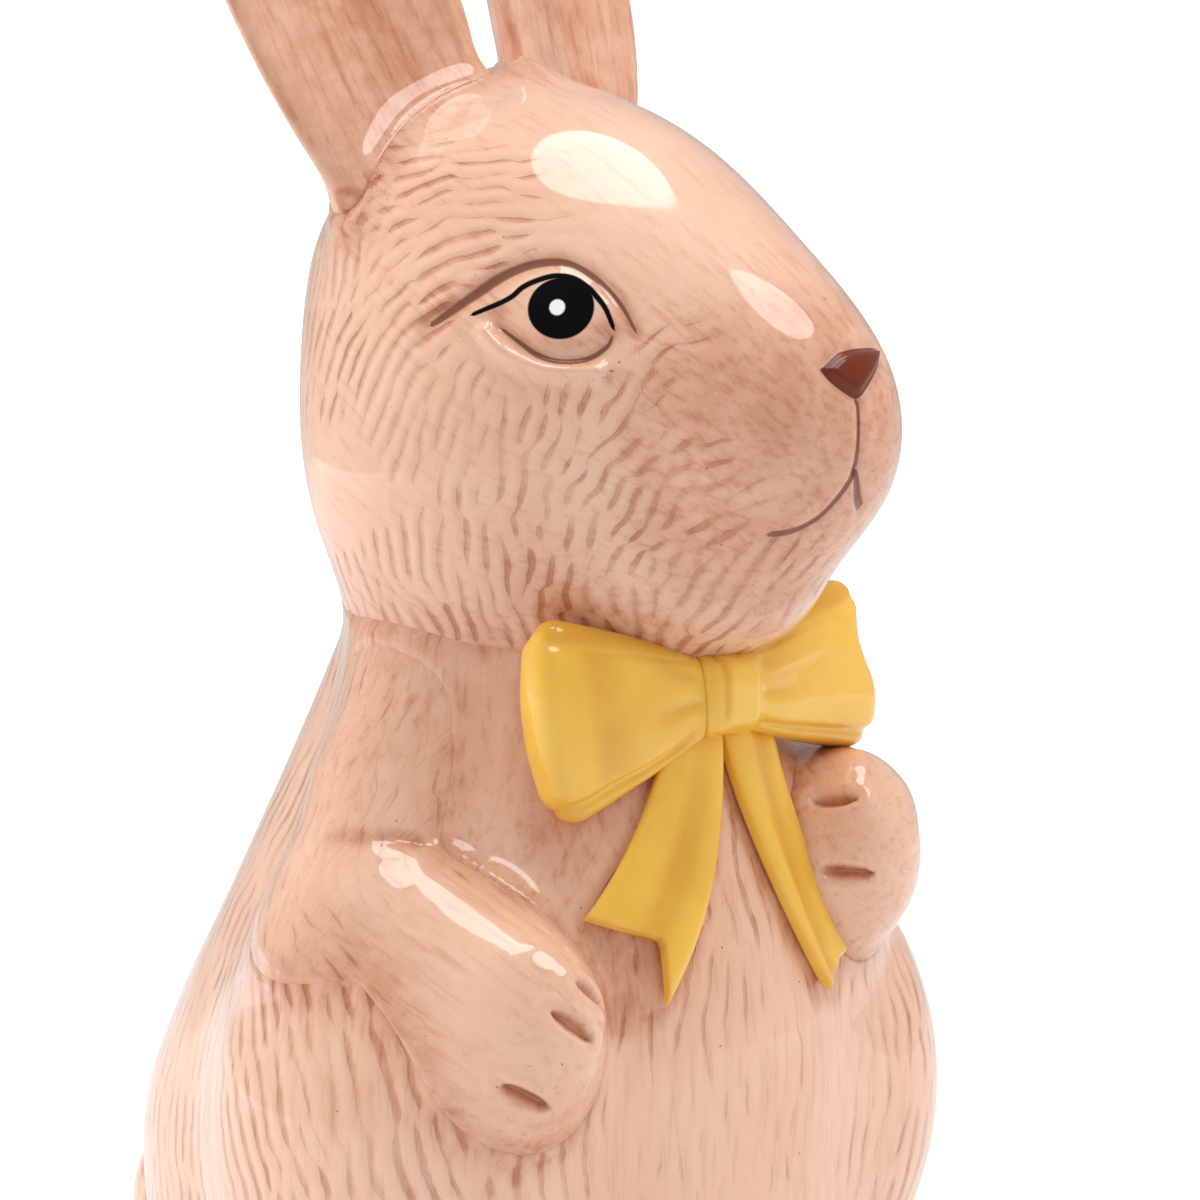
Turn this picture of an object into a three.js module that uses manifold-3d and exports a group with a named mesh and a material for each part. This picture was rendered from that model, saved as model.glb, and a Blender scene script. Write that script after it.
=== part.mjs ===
// Glazed ceramic rabbit, sitting up, with a moulded ribbon bow under its chin.
// The torso and the head are hollow slip castings, and the head's opening sits over the collar of the torso.
// The ears, arms, hind feet and tail are luted on. The bow is five press-moulded pieces luted to the chest.
// Millimetres: +Z is up, -Y is the way the chest faces and +X is the rabbit's own left.
// Soft forms are written as distance fields, which are negative inside a body and melt into each other.
// A skin is then drawn round each field, and every seat is cut with the skin of the piece that it sits on.
import * as THREE from "three";
import { mergeVertices } from "three/addons/utils/BufferGeometryUtils.js";
import Module from "manifold-3d";

const wasm = await Module();
wasm.setup();

// Casting and assembly
const TORSO_WALL = 5;
const HEAD_WALL = 4.5;
const FLOOR = 6; // thickness of the closed base
const JOIN_GAP = 0.3; // room left in every luted seat
const BASE_EDGE = 4; // rounding between the side of the torso and its base
const BASE_SPARE = 0.2; // clay under the base that is wiped off flat
const COLLAR_EDGE = 3; // rounding of the collar's rim
const VENT_RADIUS = 6; // kiln vent through the base
const VENT_BACK = 24; // from the middle of the base to the vent

// Torso: reach to each side, to the front and to the back, by height above the base
const TORSO = [
  { height: 0, side: 40, front: 36, back: 58 },
  { height: 15, side: 44, front: 40, back: 66 },
  { height: 30, side: 46, front: 42, back: 71 },
  { height: 45, side: 46, front: 43, back: 71 },
  { height: 62, side: 45, front: 43.5, back: 61 },
  { height: 80, side: 41.5, front: 40.5, back: 48 },
  { height: 100, side: 32.5, front: 33.5, back: 39 },
  { height: 115, side: 28, front: 28, back: 31 },
  { height: 127, side: 25, front: 25, back: 25.5 },
  { height: 145, side: 24, front: 24, back: 24 },
];
const COLLAR_HEIGHT = 130; // rim of the neck, inside the head
const NECK_DEPTH = 12; // how far under the rim the neck counts as open
const HAUNCH = { out: 35, back: -8.5, up: 50, radii: [21, 27.5, 32.5], toeIn: 6, melt: 7 };

// Head, measured from the middle of the skull
const HEAD_LIFT = 24.5; // from the collar's rim up to the middle of the skull
const HEAD_TURN = 3.5; // degrees to the rabbit's left
const SKULL = { out: 0, back: 1.6, up: 5.6, radii: [31.4, 34.5, 31.7] };
const SNOUT = { out: 0, back: -32, up: -5.4, radii: [19.8, 29.5, 23.3], droop: 13, melt: 21.5 };
const CHEEK = { out: 16.5, back: -2.7, up: -15.5, radii: [19.5, 26.7, 24.6], melt: 14 };
const THROAT = { out: 0, back: -22, up: -30, radii: [16, 22, 11], melt: 14 };

// Face, in degrees round from straight ahead and above the middle of the skull
const EYE = { round: 42, above: 13, radius: 9.5, stretch: 1.35, proud: 1.3 };
const EYELIDS = { halfWidth: 8.6, halfHeight: 6.2, radius: 1.2, proud: 0.5, overlap: 6, steps: 8 };
const NOSE = { above: 1, width: 10, height: 7, thickness: 3, proud: 0.9, rounding: 1.2 };
const MOUTH = { radius: 0.8, depth: 0.45, top: -4, fork: -13, corner: { round: 12, above: -24 } };

// Ears: leaves with a scooped front
const EAR = { out: 15, back: 11, sink: 10.5, lean: 11, tilt: 24, turn: 11 };
const EAR_LENGTH = 86;
const EAR_HALF_WIDTH = 17.5;
const EAR_HALF_THICKNESS = 4.5;
const EAR_SCOOP = 5; // how far the edges stand in front of the middle
const EAR_ROOT = 0.2; // where on its leaf outline the ear starts
const EAR_FULLNESS = { below: 0.8, above: 0.6 }; // powers of the outline under and over its widest place
const EAR_SPINE = [3, 78]; // the part of its middle line that stays well inside the ear

// Arms: bearing in degrees from straight ahead, height above the base and lift off the torso's surface.
// Both ends of a slit between toes are seen from the middle of the paw, by bearing and degrees above it.
const ARM_RIGHT = {
  shoulder: { bearing: -86, height: 110, lift: -4.5, radius: 9.5 },
  upper: { bearing: -85, height: 97, lift: -1, radius: 9.5 },
  elbow: { bearing: -81.5, height: 79, lift: -1, radius: 13 },
  paw: { bearing: -49, height: 67.5, lift: 4.5, radius: 15 },
  slits: [[[10, 32], [30, 18]], [[-11, 19], [11, 1]], [[-42, -27], [-11, -37]]],
};
const ARM_LEFT = {
  shoulder: { bearing: 86, height: 110, lift: -4.5, radius: 9.5 },
  upper: { bearing: 86, height: 99, lift: 0, radius: 9.5 },
  elbow: { bearing: 82, height: 86, lift: 1.8, radius: 12 },
  paw: { bearing: 34.4, height: 86.5, lift: 4.5, radius: 13.8 },
  slits: [[[-79, 40], [-41, 39]], [[-64, -7], [-31, -7]]],
};
const ARM_FLATNESS = 0.85; // thickness of the upper arm against its width
const FOREARM_FLATNESS = 0.68;
const SHOULDER_MELT = 4;
const ELBOW_MELT = 3;
const SLIT = { spare: 1.5, width: 1.6, depth: 1.4 };

// Hind feet and tail
const FOOT = { out: 23, ahead: -7, up: 9, radii: [13, 23, 12.5], splay: 7, edge: 3 };
const SCUT = { behind: 2, up: 24, radii: [15, 14, 16] };

// Ribbon bow, measured from the middle of its knot
const KNOT = { underCollar: 19.6, lift: 4.8, halfSize: [4.6, 5.2, 5.8] };
const LOOP_RIGHT = { end: [-28, 6.5, -2.9], rootHalf: 5.5, endHalf: 15.8, endThickness: 5, tilt: 2 };
const LOOP_LEFT = { end: [33, 6, 1.3], rootHalf: 5.5, endHalf: 13.3, endThickness: 4.5, tilt: -4, dip: 0.09 };
const LOOP_ROOT = 3; // where a loop starts, beside the middle of the knot
const LOOP_ROOT_THICKNESS = 3.5;
const LOOP_WIDENING = 0.9; // power of its widening from the knot outwards
const LOOP_SPINE = [0.15, 0.8]; // the part of its length that stays well inside the loop
const DIP = { above: 0.2, spread: 0.45 }; // where a wavy outer end is drawn in, in half heights of the loop
const PILLOW = { height: 3, thickness: 2.4, length: 8 }; // powers that round a loop
const CUSHION = { flat: 4, thickness: 2.5 }; // powers that round the knot
const RIBBON_THICKNESS = 3.2;
// Ribbon ends: places across the chest and up it, widths at both ends, how far along the ribbon its left edge,
// its notch and its right edge run, and where the notch lies across it
const RIBBON_RIGHT = {
  line: [[-2, -3.4], [-7, -19.4], [-21, -36.9]],
  widths: [7.5, 14],
  cut: [0.9, 0.84, 1],
  notch: 1 / 3,
};
const RIBBON_LEFT = {
  line: [[6.5, -5.4], [6, -25.4], [16, -40.4]],
  widths: [10.5, 6.5],
  cut: [1, 0.94, 0.97],
  notch: 0,
};

// Rows and columns of each skin, and the shares of its rows that swing into its first and its last pole
const SKINS = {
  torso: { rows: 32, columns: 40, poles: [1 / 32, 0.15] },
  torsoCore: { rows: 18, columns: 22, poles: [0.25, 0.15] },
  head: { rows: 28, columns: 36, poles: [0.36, 0.36] },
  headCore: { rows: 14, columns: 20, poles: [0.36, 0.36] },
  ear: { rows: 20, columns: 16, poles: [0.12, 0.12] },
  arm: { rows: 22, columns: 18, poles: [0.22, 0.22] },
  foot: { rows: 12, columns: 16, poles: [0.3, 0.3] },
  scut: { rows: 10, columns: 16, poles: [0.45, 0.45] },
  knot: { rows: 10, columns: 16, poles: [0.4, 0.4] },
  loop: { rows: 14, columns: 18, poles: [0.25, 0.25] },
};
const RIBBON_ROWS = 10;
const RIBBON_LANES = 6;
const EYE_GRID = [18, 12];
const SLIT_GRID = [10, 6];
const VENT_SIDES = 20;
const TINY = 1e-9; // keeps divisions clear of zero

const v3 = (x, y, z) => new THREE.Vector3(x, y, z);
const rad = THREE.MathUtils.degToRad;

// Distance fields
// A smooth join: the lower of two distances, with a fillet of the given width where they are nearly equal
function melt(a, b, width) {
  const closeness = Math.max(width - Math.abs(a - b), 0) / width;
  return Math.min(a, b) - closeness * closeness * width * 0.25;
}

// A smooth cut: inside both, with a rounded edge
function trim(a, b, width) {
  return -melt(-a, -b, width);
}

function ellipsoid(local, radii) {
  const once = Math.hypot(local.x / radii[0], local.y / radii[1], local.z / radii[2]);
  const twice = Math.hypot(local.x / radii[0] ** 2, local.y / radii[1] ** 2, local.z / radii[2] ** 2);
  return (once * (once - 1)) / (twice + TINY);
}

// A frame turned by degrees about X, Y and Z, which takes points from the parent into itself
function frameAt(at, turn = [0, 0, 0], order = "ZYX") {
  const euler = new THREE.Euler(rad(turn[0]), rad(turn[1]), rad(turn[2]), order);
  const rotation = new THREE.Quaternion().setFromEuler(euler);
  const outward = new THREE.Matrix4().compose(at, rotation, v3(1, 1, 1));
  const inward = outward.clone().invert();
  return {
    enter: (point) => point.clone().applyMatrix4(inward),
    leave: (point) => point.clone().applyMatrix4(outward),
  };
}

// One value of the torso's profile and its slope, on cubic curves through the stations
function profile(key, height) {
  const last = TORSO.length - 1;
  let i = 0;
  while (i < last - 1 && height > TORSO[i + 1].height) i += 1;
  const slopeAt = (k) => {
    const lower = TORSO[Math.max(k - 1, 0)];
    const upper = TORSO[Math.min(k + 1, last)];
    return (upper[key] - lower[key]) / (upper.height - lower.height);
  };
  const span = TORSO[i + 1].height - TORSO[i].height;
  const t = THREE.MathUtils.clamp((height - TORSO[i].height) / span, 0, 1);
  const [a, b] = [TORSO[i][key], TORSO[i + 1][key]];
  const [ma, mb] = [slopeAt(i) * span, slopeAt(i + 1) * span];
  const value = a + ma * t + (3 * (b - a) - 2 * ma - mb) * t * t + (2 * (a - b) + ma + mb) * t ** 3;
  const slope = (ma + 2 * (3 * (b - a) - 2 * ma - mb) * t + 3 * (2 * (a - b) + ma + mb) * t * t) / span;
  return { value, slope };
}

// The egg-shaped column of the torso, without its base and rim
function torsoColumn(p) {
  const side = profile("side", p.z);
  const depth = profile(p.y < 0 ? "front" : "back", p.z);
  const bearing = Math.atan2(p.y, p.x);
  const [cos, sin] = [Math.cos(bearing), Math.sin(bearing)];
  const reach = 1 / Math.hypot(cos / side.value, sin / depth.value);
  const sideShare = (cos * cos * side.slope) / side.value ** 3;
  const depthShare = (sin * sin * depth.slope) / depth.value ** 3;
  return (Math.hypot(p.x, p.y) - reach) / Math.hypot(1, reach ** 3 * (sideShare + depthShare));
}

const haunchFrames = [-1, 1].map((side) =>
  frameAt(v3(side * HAUNCH.out, HAUNCH.back, HAUNCH.up), [0, 0, -side * HAUNCH.toeIn]),
);

function torsoBody(p) {
  const haunches = haunchFrames.map((frame) => ellipsoid(frame.enter(p), HAUNCH.radii));
  return haunches.reduce((joined, haunch) => melt(joined, haunch, HAUNCH.melt), torsoColumn(p));
}

function torsoField(p) {
  return trim(trim(torsoBody(p), -p.z - BASE_SPARE, BASE_EDGE), p.z - COLLAR_HEIGHT, COLLAR_EDGE);
}

const headFrame = frameAt(v3(0, 0, COLLAR_HEIGHT + HEAD_LIFT), [0, 0, HEAD_TURN]);

function lump(part, side = 1) {
  const frame = frameAt(v3(side * part.out, part.back, part.up), [part.droop ?? 0, 0, 0]);
  return (local) => ellipsoid(frame.enter(local), part.radii);
}

const skull = lump(SKULL);
const snout = lump(SNOUT);
const cheeks = [-1, 1].map((side) => lump(CHEEK, side));
const throat = lump(THROAT);

function headField(p) {
  const local = headFrame.enter(p);
  const face = melt(skull(local), snout(local), SNOUT.melt);
  const jowls = cheeks.reduce((d, cheek) => melt(d, cheek(local), CHEEK.melt), face);
  return melt(jowls, throat(local), THROAT.melt);
}

function earRoot(side) {
  const across = EAR.out / SKULL.radii[0];
  const along = (EAR.back - SKULL.back) / SKULL.radii[1];
  const crown = SKULL.up + SKULL.radii[2] * Math.sqrt(1 - across * across - along * along);
  return v3(side * EAR.out, EAR.back, crown - EAR.sink);
}

function earFrame(side) {
  const tilted = frameAt(earRoot(side), [-EAR.tilt, side * EAR.lean, 0], "YXZ");
  const turned = frameAt(v3(0, 0, 0), [0, 0, side * EAR.turn]);
  return {
    enter: (p) => turned.enter(tilted.enter(headFrame.enter(p))),
    leave: (p) => headFrame.leave(tilted.leave(turned.leave(p))),
  };
}

// A leaf: its half width follows a sine arch, and its edges curl to the front
function earField(side) {
  const frame = earFrame(side);
  return (p) => {
    const q = frame.enter(p);
    const up = THREE.MathUtils.clamp(q.z / EAR_LENGTH, 0, 1);
    const arch = Math.PI * (EAR_ROOT + (1 - EAR_ROOT) * up);
    const fullness = arch < Math.PI / 2 ? EAR_FULLNESS.below : EAR_FULLNESS.above;
    const halfWidth = EAR_HALF_WIDTH * Math.sin(arch) ** fullness + TINY;
    const curled = q.y + (q.x / EAR_HALF_WIDTH) ** 2 * EAR_SCOOP;
    const leaf = (Math.hypot(q.x / halfWidth, curled / EAR_HALF_THICKNESS) - 1) * EAR_HALF_THICKNESS;
    return trim(leaf, Math.max(q.z - EAR_LENGTH, -q.z), EAR_HALF_THICKNESS);
  };
}

// A tapered capsule from a to b, squeezed along one direction
function limb(a, b, squeeze, flatness) {
  const axis = b.point.clone().sub(a.point);
  const lengthSquared = axis.lengthSq();
  const thin = squeeze.clone().projectOnPlane(axis).normalize();
  return (p) => {
    const offset = p.clone().sub(a.point);
    const along = THREE.MathUtils.clamp(offset.dot(axis) / lengthSquared, 0, 1);
    offset.addScaledVector(axis, -along);
    offset.addScaledVector(thin, (1 / flatness - 1) * offset.dot(thin));
    const radius = THREE.MathUtils.lerp(a.radius, b.radius, along);
    return (offset.length() - radius) * (1 + flatness) * 0.5;
  };
}

// A point over the torso's surface, by bearing from straight ahead and height
function overTorso({ bearing, height, lift }) {
  const cos = Math.sin(rad(bearing));
  const sin = -Math.cos(rad(bearing));
  const depth = profile(sin < 0 ? "front" : "back", height).value;
  const reach = 1 / Math.hypot(cos / profile("side", height).value, sin / depth);
  return v3(cos, sin, 0).multiplyScalar(reach + lift).setZ(height);
}

function armJoints(arm) {
  const at = (name) => ({ point: overTorso(arm[name]), radius: arm[name].radius });
  return { shoulder: at("shoulder"), upper: at("upper"), elbow: at("elbow"), paw: at("paw") };
}

function armField(arm) {
  const { shoulder, upper, elbow, paw } = armJoints(arm);
  const outside = elbow.point.clone().setZ(0).normalize();
  const between = elbow.point.clone().add(paw.point).setZ(0).normalize();
  const top = limb(shoulder, upper, outside, ARM_FLATNESS);
  const lower = limb(upper, elbow, outside, ARM_FLATNESS);
  const forearm = limb(elbow, paw, between, FOREARM_FLATNESS);
  return (p) => melt(melt(top(p), lower(p), SHOULDER_MELT), forearm(p), ELBOW_MELT);
}

function footFrame(side) {
  const ahead = -profile("front", FOOT.up).value - FOOT.ahead;
  return frameAt(v3(side * FOOT.out, ahead, FOOT.up), [0, 0, side * FOOT.splay]);
}

function footField(side) {
  const frame = footFrame(side);
  return (p) => trim(ellipsoid(frame.enter(p), FOOT.radii), -p.z, FOOT.edge);
}

const scutCentre = v3(0, profile("back", SCUT.up).value + SCUT.behind, SCUT.up);
const scutField = (p) => ellipsoid(p.clone().sub(scutCentre), SCUT.radii);

const knotHeight = COLLAR_HEIGHT - KNOT.underCollar;
const knotCentre = v3(0, -profile("front", knotHeight).value - KNOT.lift, knotHeight);

// A cushion-shaped block with rounded edges
function knotField(p) {
  const q = p.clone().sub(knotCentre);
  const [x, y, z] = [q.x / KNOT.halfSize[0], q.y / KNOT.halfSize[1], q.z / KNOT.halfSize[2]].map(Math.abs);
  const block = x ** CUSHION.flat + y ** CUSHION.thickness + z ** CUSHION.flat;
  return (block ** (1 / CUSHION.flat) - 1) * KNOT.halfSize[0];
}

function loopFrame(loop) {
  const direction = v3(...loop.end);
  const start = knotCentre.clone().add(v3(Math.sign(loop.end[0]) * LOOP_ROOT, 0, 0));
  const finish = knotCentre.clone().add(direction);
  const along = finish.clone().sub(start);
  const length = along.length();
  along.normalize();
  const upright = v3(0, 0, 1).projectOnPlane(along).normalize().applyAxisAngle(along, rad(loop.tilt));
  return { start, finish, length, along, upright, through: upright.clone().cross(along) };
}

// A pillow that widens from the knot to a blunt outer end, which may be drawn in like a wave
function loopField(loop) {
  const { start, length, along, upright, through } = loopFrame(loop);
  return (p) => {
    const q = p.clone().sub(start);
    const t = THREE.MathUtils.clamp(q.dot(along) / length, 0, 1);
    const half = THREE.MathUtils.lerp(loop.rootHalf, loop.endHalf, t ** LOOP_WIDENING);
    const thickness = THREE.MathUtils.lerp(LOOP_ROOT_THICKNESS, loop.endThickness, t);
    const above = q.dot(upright) / half;
    const drawnIn = (loop.dip ?? 0) * Math.exp(-(((above - DIP.above) / DIP.spread) ** 2));
    const share = q.dot(along) / (length * (1 - t * drawnIn));
    const [a, b, c] = [above, q.dot(through) / thickness, 2 * share - 1].map(Math.abs);
    const block = a ** PILLOW.height + b ** PILLOW.thickness + c ** PILLOW.length;
    return (block ** (1 / PILLOW.height) - 1) * LOOP_ROOT_THICKNESS;
  };
}

// Skins
const RAY_REACH = 90; // longer than any way from the inside of a body to its skin
const HALVINGS = 24; // steps of a search along a ray, which leave it a hundredth of a micrometre off

// How far a ray runs inside a field before it reaches the given distance
function reachOn(field, from, direction, distance = 0) {
  const probe = v3(0, 0, 0);
  let [inner, outer] = [0, RAY_REACH];
  for (let k = 0; k < HALVINGS; k += 1) {
    const middle = (inner + outer) / 2;
    if (field(probe.copy(from).addScaledVector(direction, middle)) < distance) inner = middle;
    else outer = middle;
  }
  return inner;
}

// Each row of rays leaves one point of a path that runs inside the body.
// The rows at both ends swing round into a pole, and every ray stops at the field's surface.
function skin(field, path, { rows, columns, poles }, grow = 0) {
  const { points, forward, outside } = path;
  const curve = new THREE.CurvePath();
  for (let i = 1; i < points.length; i += 1) curve.add(new THREE.LineCurve3(points[i - 1], points[i]));
  const positions = [];
  for (let i = 0; i <= rows; i += 1) {
    const share = i / rows;
    const along = THREE.MathUtils.clamp((share - poles[0]) / (1 - poles[0] - poles[1]), 0, 1);
    const swing = Math.min(share / poles[0] - 1, 0) + Math.max(1 - (1 - share) / poles[1], 0);
    const from = curve.getPoint(along);
    const ahead = forward[0].clone().lerp(forward[forward.length - 1], along).normalize();
    const side = outside.clone().projectOnPlane(ahead).normalize();
    const up = ahead.clone().cross(side);
    const lift = (swing * Math.PI) / 2;
    const around = i === 0 || i === rows ? 1 : columns;
    for (let j = 0; j < around; j += 1) {
      const turn = (j / columns) * Math.PI * 2;
      const flat = side.clone().multiplyScalar(Math.cos(turn)).addScaledVector(up, Math.sin(turn));
      const direction = flat.multiplyScalar(Math.cos(lift)).addScaledVector(ahead, Math.sin(lift));
      const reach = reachOn(field, from, direction, grow);
      positions.push(...from.clone().addScaledVector(direction, reach).toArray());
    }
  }
  return closedGrid(positions, rows, columns);
}

// Triangles of a grid of rings between two poles
function closedGrid(positions, rows, columns) {
  const indices = [];
  const ring = (i, j) => 1 + (i - 1) * columns + (j % columns);
  const top = 1 + (rows - 1) * columns;
  for (let j = 0; j < columns; j += 1) {
    indices.push(0, ring(1, j + 1), ring(1, j));
    indices.push(top, ring(rows - 1, j), ring(rows - 1, j + 1));
    for (let i = 1; i < rows - 1; i += 1) {
      indices.push(ring(i, j), ring(i, j + 1), ring(i + 1, j + 1));
      indices.push(ring(i, j), ring(i + 1, j + 1), ring(i + 1, j));
    }
  }
  const geometry = new THREE.BufferGeometry();
  geometry.setAttribute("position", new THREE.Float32BufferAttribute(positions, 3));
  geometry.setIndex(indices);
  return geometry;
}

// Solids
function solid(geometry) {
  const bare = new THREE.BufferGeometry();
  bare.setAttribute("position", geometry.getAttribute("position"));
  bare.setIndex(geometry.getIndex());
  const merged = mergeVertices(bare, 1e-4);
  return new wasm.Manifold(
    new wasm.Mesh({
      numProp: 3,
      vertProperties: new Float32Array(merged.getAttribute("position").array),
      triVerts: new Uint32Array(merged.getIndex().array),
    }),
  );
}

function geometryOf(body) {
  const { vertProperties, triVerts } = body.getMesh();
  const geometry = new THREE.BufferGeometry();
  geometry.setAttribute("position", new THREE.BufferAttribute(vertProperties, 3));
  geometry.setIndex(new THREE.BufferAttribute(triVerts, 1));
  geometry.computeVertexNormals();
  return geometry;
}

// The same skin as a part and, grown by the luting gap, as the tool that cuts its neighbours
function skinPair(field, path, grid) {
  return {
    body: solid(skin(field, path, grid)),
    cutter: solid(skin(field, path, grid, JOIN_GAP)),
  };
}

const upright = { forward: [v3(0, 0, 1)], outside: v3(1, 0, 0) };

// The skin starts with a flat disc a little under the base, which is then cut off level
function makeTorso() {
  const neck = v3(0, 0, COLLAR_HEIGHT - NECK_DEPTH);
  const path = { ...upright, points: [v3(0, 0, 0), neck] };
  const { body, cutter } = skinPair(torsoField, path, SKINS.torso);
  const room = (p) => Math.max(torsoBody(p) + TORSO_WALL, p.z - COLLAR_HEIGHT - NECK_DEPTH);
  const hollow = (p) => trim(room(p), FLOOR - p.z, BASE_EDGE);
  const within = { ...path, points: [v3(0, 0, 4 * FLOOR), neck] };
  const core = solid(skin(hollow, within, SKINS.torsoCore));
  const vent = new THREE.CylinderGeometry(VENT_RADIUS, VENT_RADIUS, 4 * FLOOR, VENT_SIDES);
  vent.rotateX(Math.PI / 2).translate(0, VENT_BACK, 0);
  const level = body.trimByPlane([0, 0, 1], 0);
  return { body: level.subtract(core).subtract(solid(vent)), cutter };
}

const headMiddle = headFrame.leave(v3(0, 0, 0));

// The point of a field's surface on a ray, and the direction square to the surface
function surfaceOn(field, from, toward) {
  const ray = toward.clone().normalize();
  const at = from.clone().addScaledVector(ray, reachOn(field, from, ray));
  const step = 0.2;
  const slope = (x, y, z) => field(v3(x, y, z).add(at)) - field(v3(-x, -y, -z).add(at));
  return { at, normal: v3(slope(step, 0, 0), slope(0, step, 0), slope(0, 0, step)).normalize() };
}

function onHead(round, above) {
  const direction = v3(Math.sin(rad(round)), -Math.cos(rad(round)), Math.tan(rad(above)));
  return surfaceOn(headField, headMiddle, headFrame.leave(direction).sub(headMiddle));
}

// Axes on the face: across it, up it and out of it
function faceAxes({ normal }) {
  const across = v3(0, 0, 1).cross(normal).normalize();
  return { across, rise: normal.clone().cross(across), normal };
}

function tube(points, radius, steps) {
  const section = new THREE.Shape().absarc(0, 0, radius, 0, Math.PI * 2);
  const extrudePath = new THREE.CatmullRomCurve3(points);
  const sweep = { steps, extrudePath, curveSegments: 3, bevelEnabled: false };
  return solid(new THREE.ExtrudeGeometry(section, sweep));
}

// Points sunk under the skin of the head, for a tube that stands proud or cuts a groove
function alongHead(places, sink) {
  return places.map(({ at, normal }) => at.clone().addScaledVector(normal, -sink));
}

function makeEye(side) {
  const seat = onHead(side * EYE.round, EYE.above);
  const { across, rise, normal } = faceAxes(seat);
  const ball = new THREE.SphereGeometry(EYE.radius, ...EYE_GRID);
  const place = new THREE.Matrix4().makeBasis(across.clone().multiplyScalar(EYE.stretch), rise, normal);
  place.setPosition(seat.at.clone().addScaledVector(normal, EYE.proud - EYE.radius));
  const lid = (from, to) => {
    const places = [];
    for (let k = 0; k <= EYELIDS.steps; k += 1) {
      const turn = rad(THREE.MathUtils.lerp(from - EYELIDS.overlap, to + EYELIDS.overlap, k / EYELIDS.steps));
      const spot = seat.at.clone().addScaledVector(across, EYELIDS.halfWidth * Math.cos(turn));
      spot.addScaledVector(rise, EYELIDS.halfHeight * Math.sin(turn));
      places.push(surfaceOn(headField, headMiddle, spot.sub(headMiddle)));
    }
    return tube(alongHead(places, EYELIDS.radius - EYELIDS.proud), EYELIDS.radius, EYELIDS.steps + 2);
  };
  return solid(ball.applyMatrix4(place)).add(lid(0, 180)).add(lid(180, 360));
}

// A rounded triangle, wide at the top, sunk into the tip of the snout
function makeNose() {
  const seat = onHead(0, NOSE.above);
  const { across, rise, normal } = faceAxes(seat);
  const half = NOSE.width / 2 - NOSE.rounding;
  const top = NOSE.height / 2 - NOSE.rounding;
  const triangle = new THREE.Shape([
    new THREE.Vector2(-half, top),
    new THREE.Vector2(0, -top - NOSE.rounding / 2),
    new THREE.Vector2(half, top),
  ]);
  const bevel = { bevelThickness: NOSE.rounding, bevelSize: NOSE.rounding, bevelSegments: 3 };
  const pad = new THREE.ExtrudeGeometry(triangle, { depth: NOSE.thickness, ...bevel });
  const place = new THREE.Matrix4().makeBasis(across, rise, normal);
  const sink = NOSE.thickness + NOSE.rounding - NOSE.proud;
  place.setPosition(seat.at.clone().addScaledVector(normal, -sink));
  return solid(pad.applyMatrix4(place));
}

// The line from the nose to the lip, and the smile to both sides of it
function mouthGrooves() {
  const sink = MOUTH.depth - MOUTH.radius;
  const line = [0, 0.5, 1].map((t) => onHead(0, THREE.MathUtils.lerp(MOUTH.top, MOUTH.fork, t)));
  const grooves = [tube(alongHead(line, sink), MOUTH.radius, 6)];
  for (const side of [-1, 1]) {
    const smile = [0, 0.25, 0.5, 0.75, 1].map((t) => {
      const above = THREE.MathUtils.lerp(MOUTH.fork, MOUTH.corner.above, Math.sin((t * Math.PI) / 2));
      return onHead(side * MOUTH.corner.round * t * t, above);
    });
    grooves.push(tube(alongHead(smile, sink), MOUTH.radius, 10));
  }
  return grooves;
}

function makeHead(torso) {
  const path = {
    points: [headMiddle, headFrame.leave(v3(0, SNOUT.back, SNOUT.up))],
    forward: [headFrame.leave(v3(0, -1, 0)).sub(headMiddle)],
    outside: v3(0, 0, 1),
  };
  const { body, cutter } = skinPair(headField, path, SKINS.head);
  const core = solid(skin((p) => headField(p) + HEAD_WALL, path, SKINS.headCore));
  const features = [makeEye(-1), makeEye(1), makeNose()];
  const face = features.reduce((joined, feature) => joined.add(feature), body);
  const carved = mouthGrooves().reduce((cut, groove) => cut.subtract(groove), face);
  return { body: carved.subtract(core).subtract(torso.cutter), cutter };
}

function makeEar(side, head) {
  const frame = earFrame(side);
  const heart = frame.leave(v3(0, 0, 0));
  const path = {
    points: EAR_SPINE.map((height) => frame.leave(v3(0, 0, height))),
    forward: [frame.leave(v3(0, 0, 1)).sub(heart)],
    outside: frame.leave(v3(1, 0, 0)).sub(heart),
  };
  return solid(skin(earField(side), path, SKINS.ear)).subtract(head.cutter);
}

function makeArm(arm) {
  const { shoulder, upper, elbow, paw } = armJoints(arm);
  const heading = (from, to) => to.point.clone().sub(from.point).normalize();
  const path = {
    points: [shoulder.point, upper.point, elbow.point, paw.point],
    forward: [heading(shoulder, elbow), heading(elbow, paw)],
    outside: elbow.point.clone().setZ(0),
  };
  const body = solid(skin(armField(arm), path, SKINS.arm));
  return pawSlits(arm).reduce((cut, slit) => cut.subtract(slit), body);
}

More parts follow.
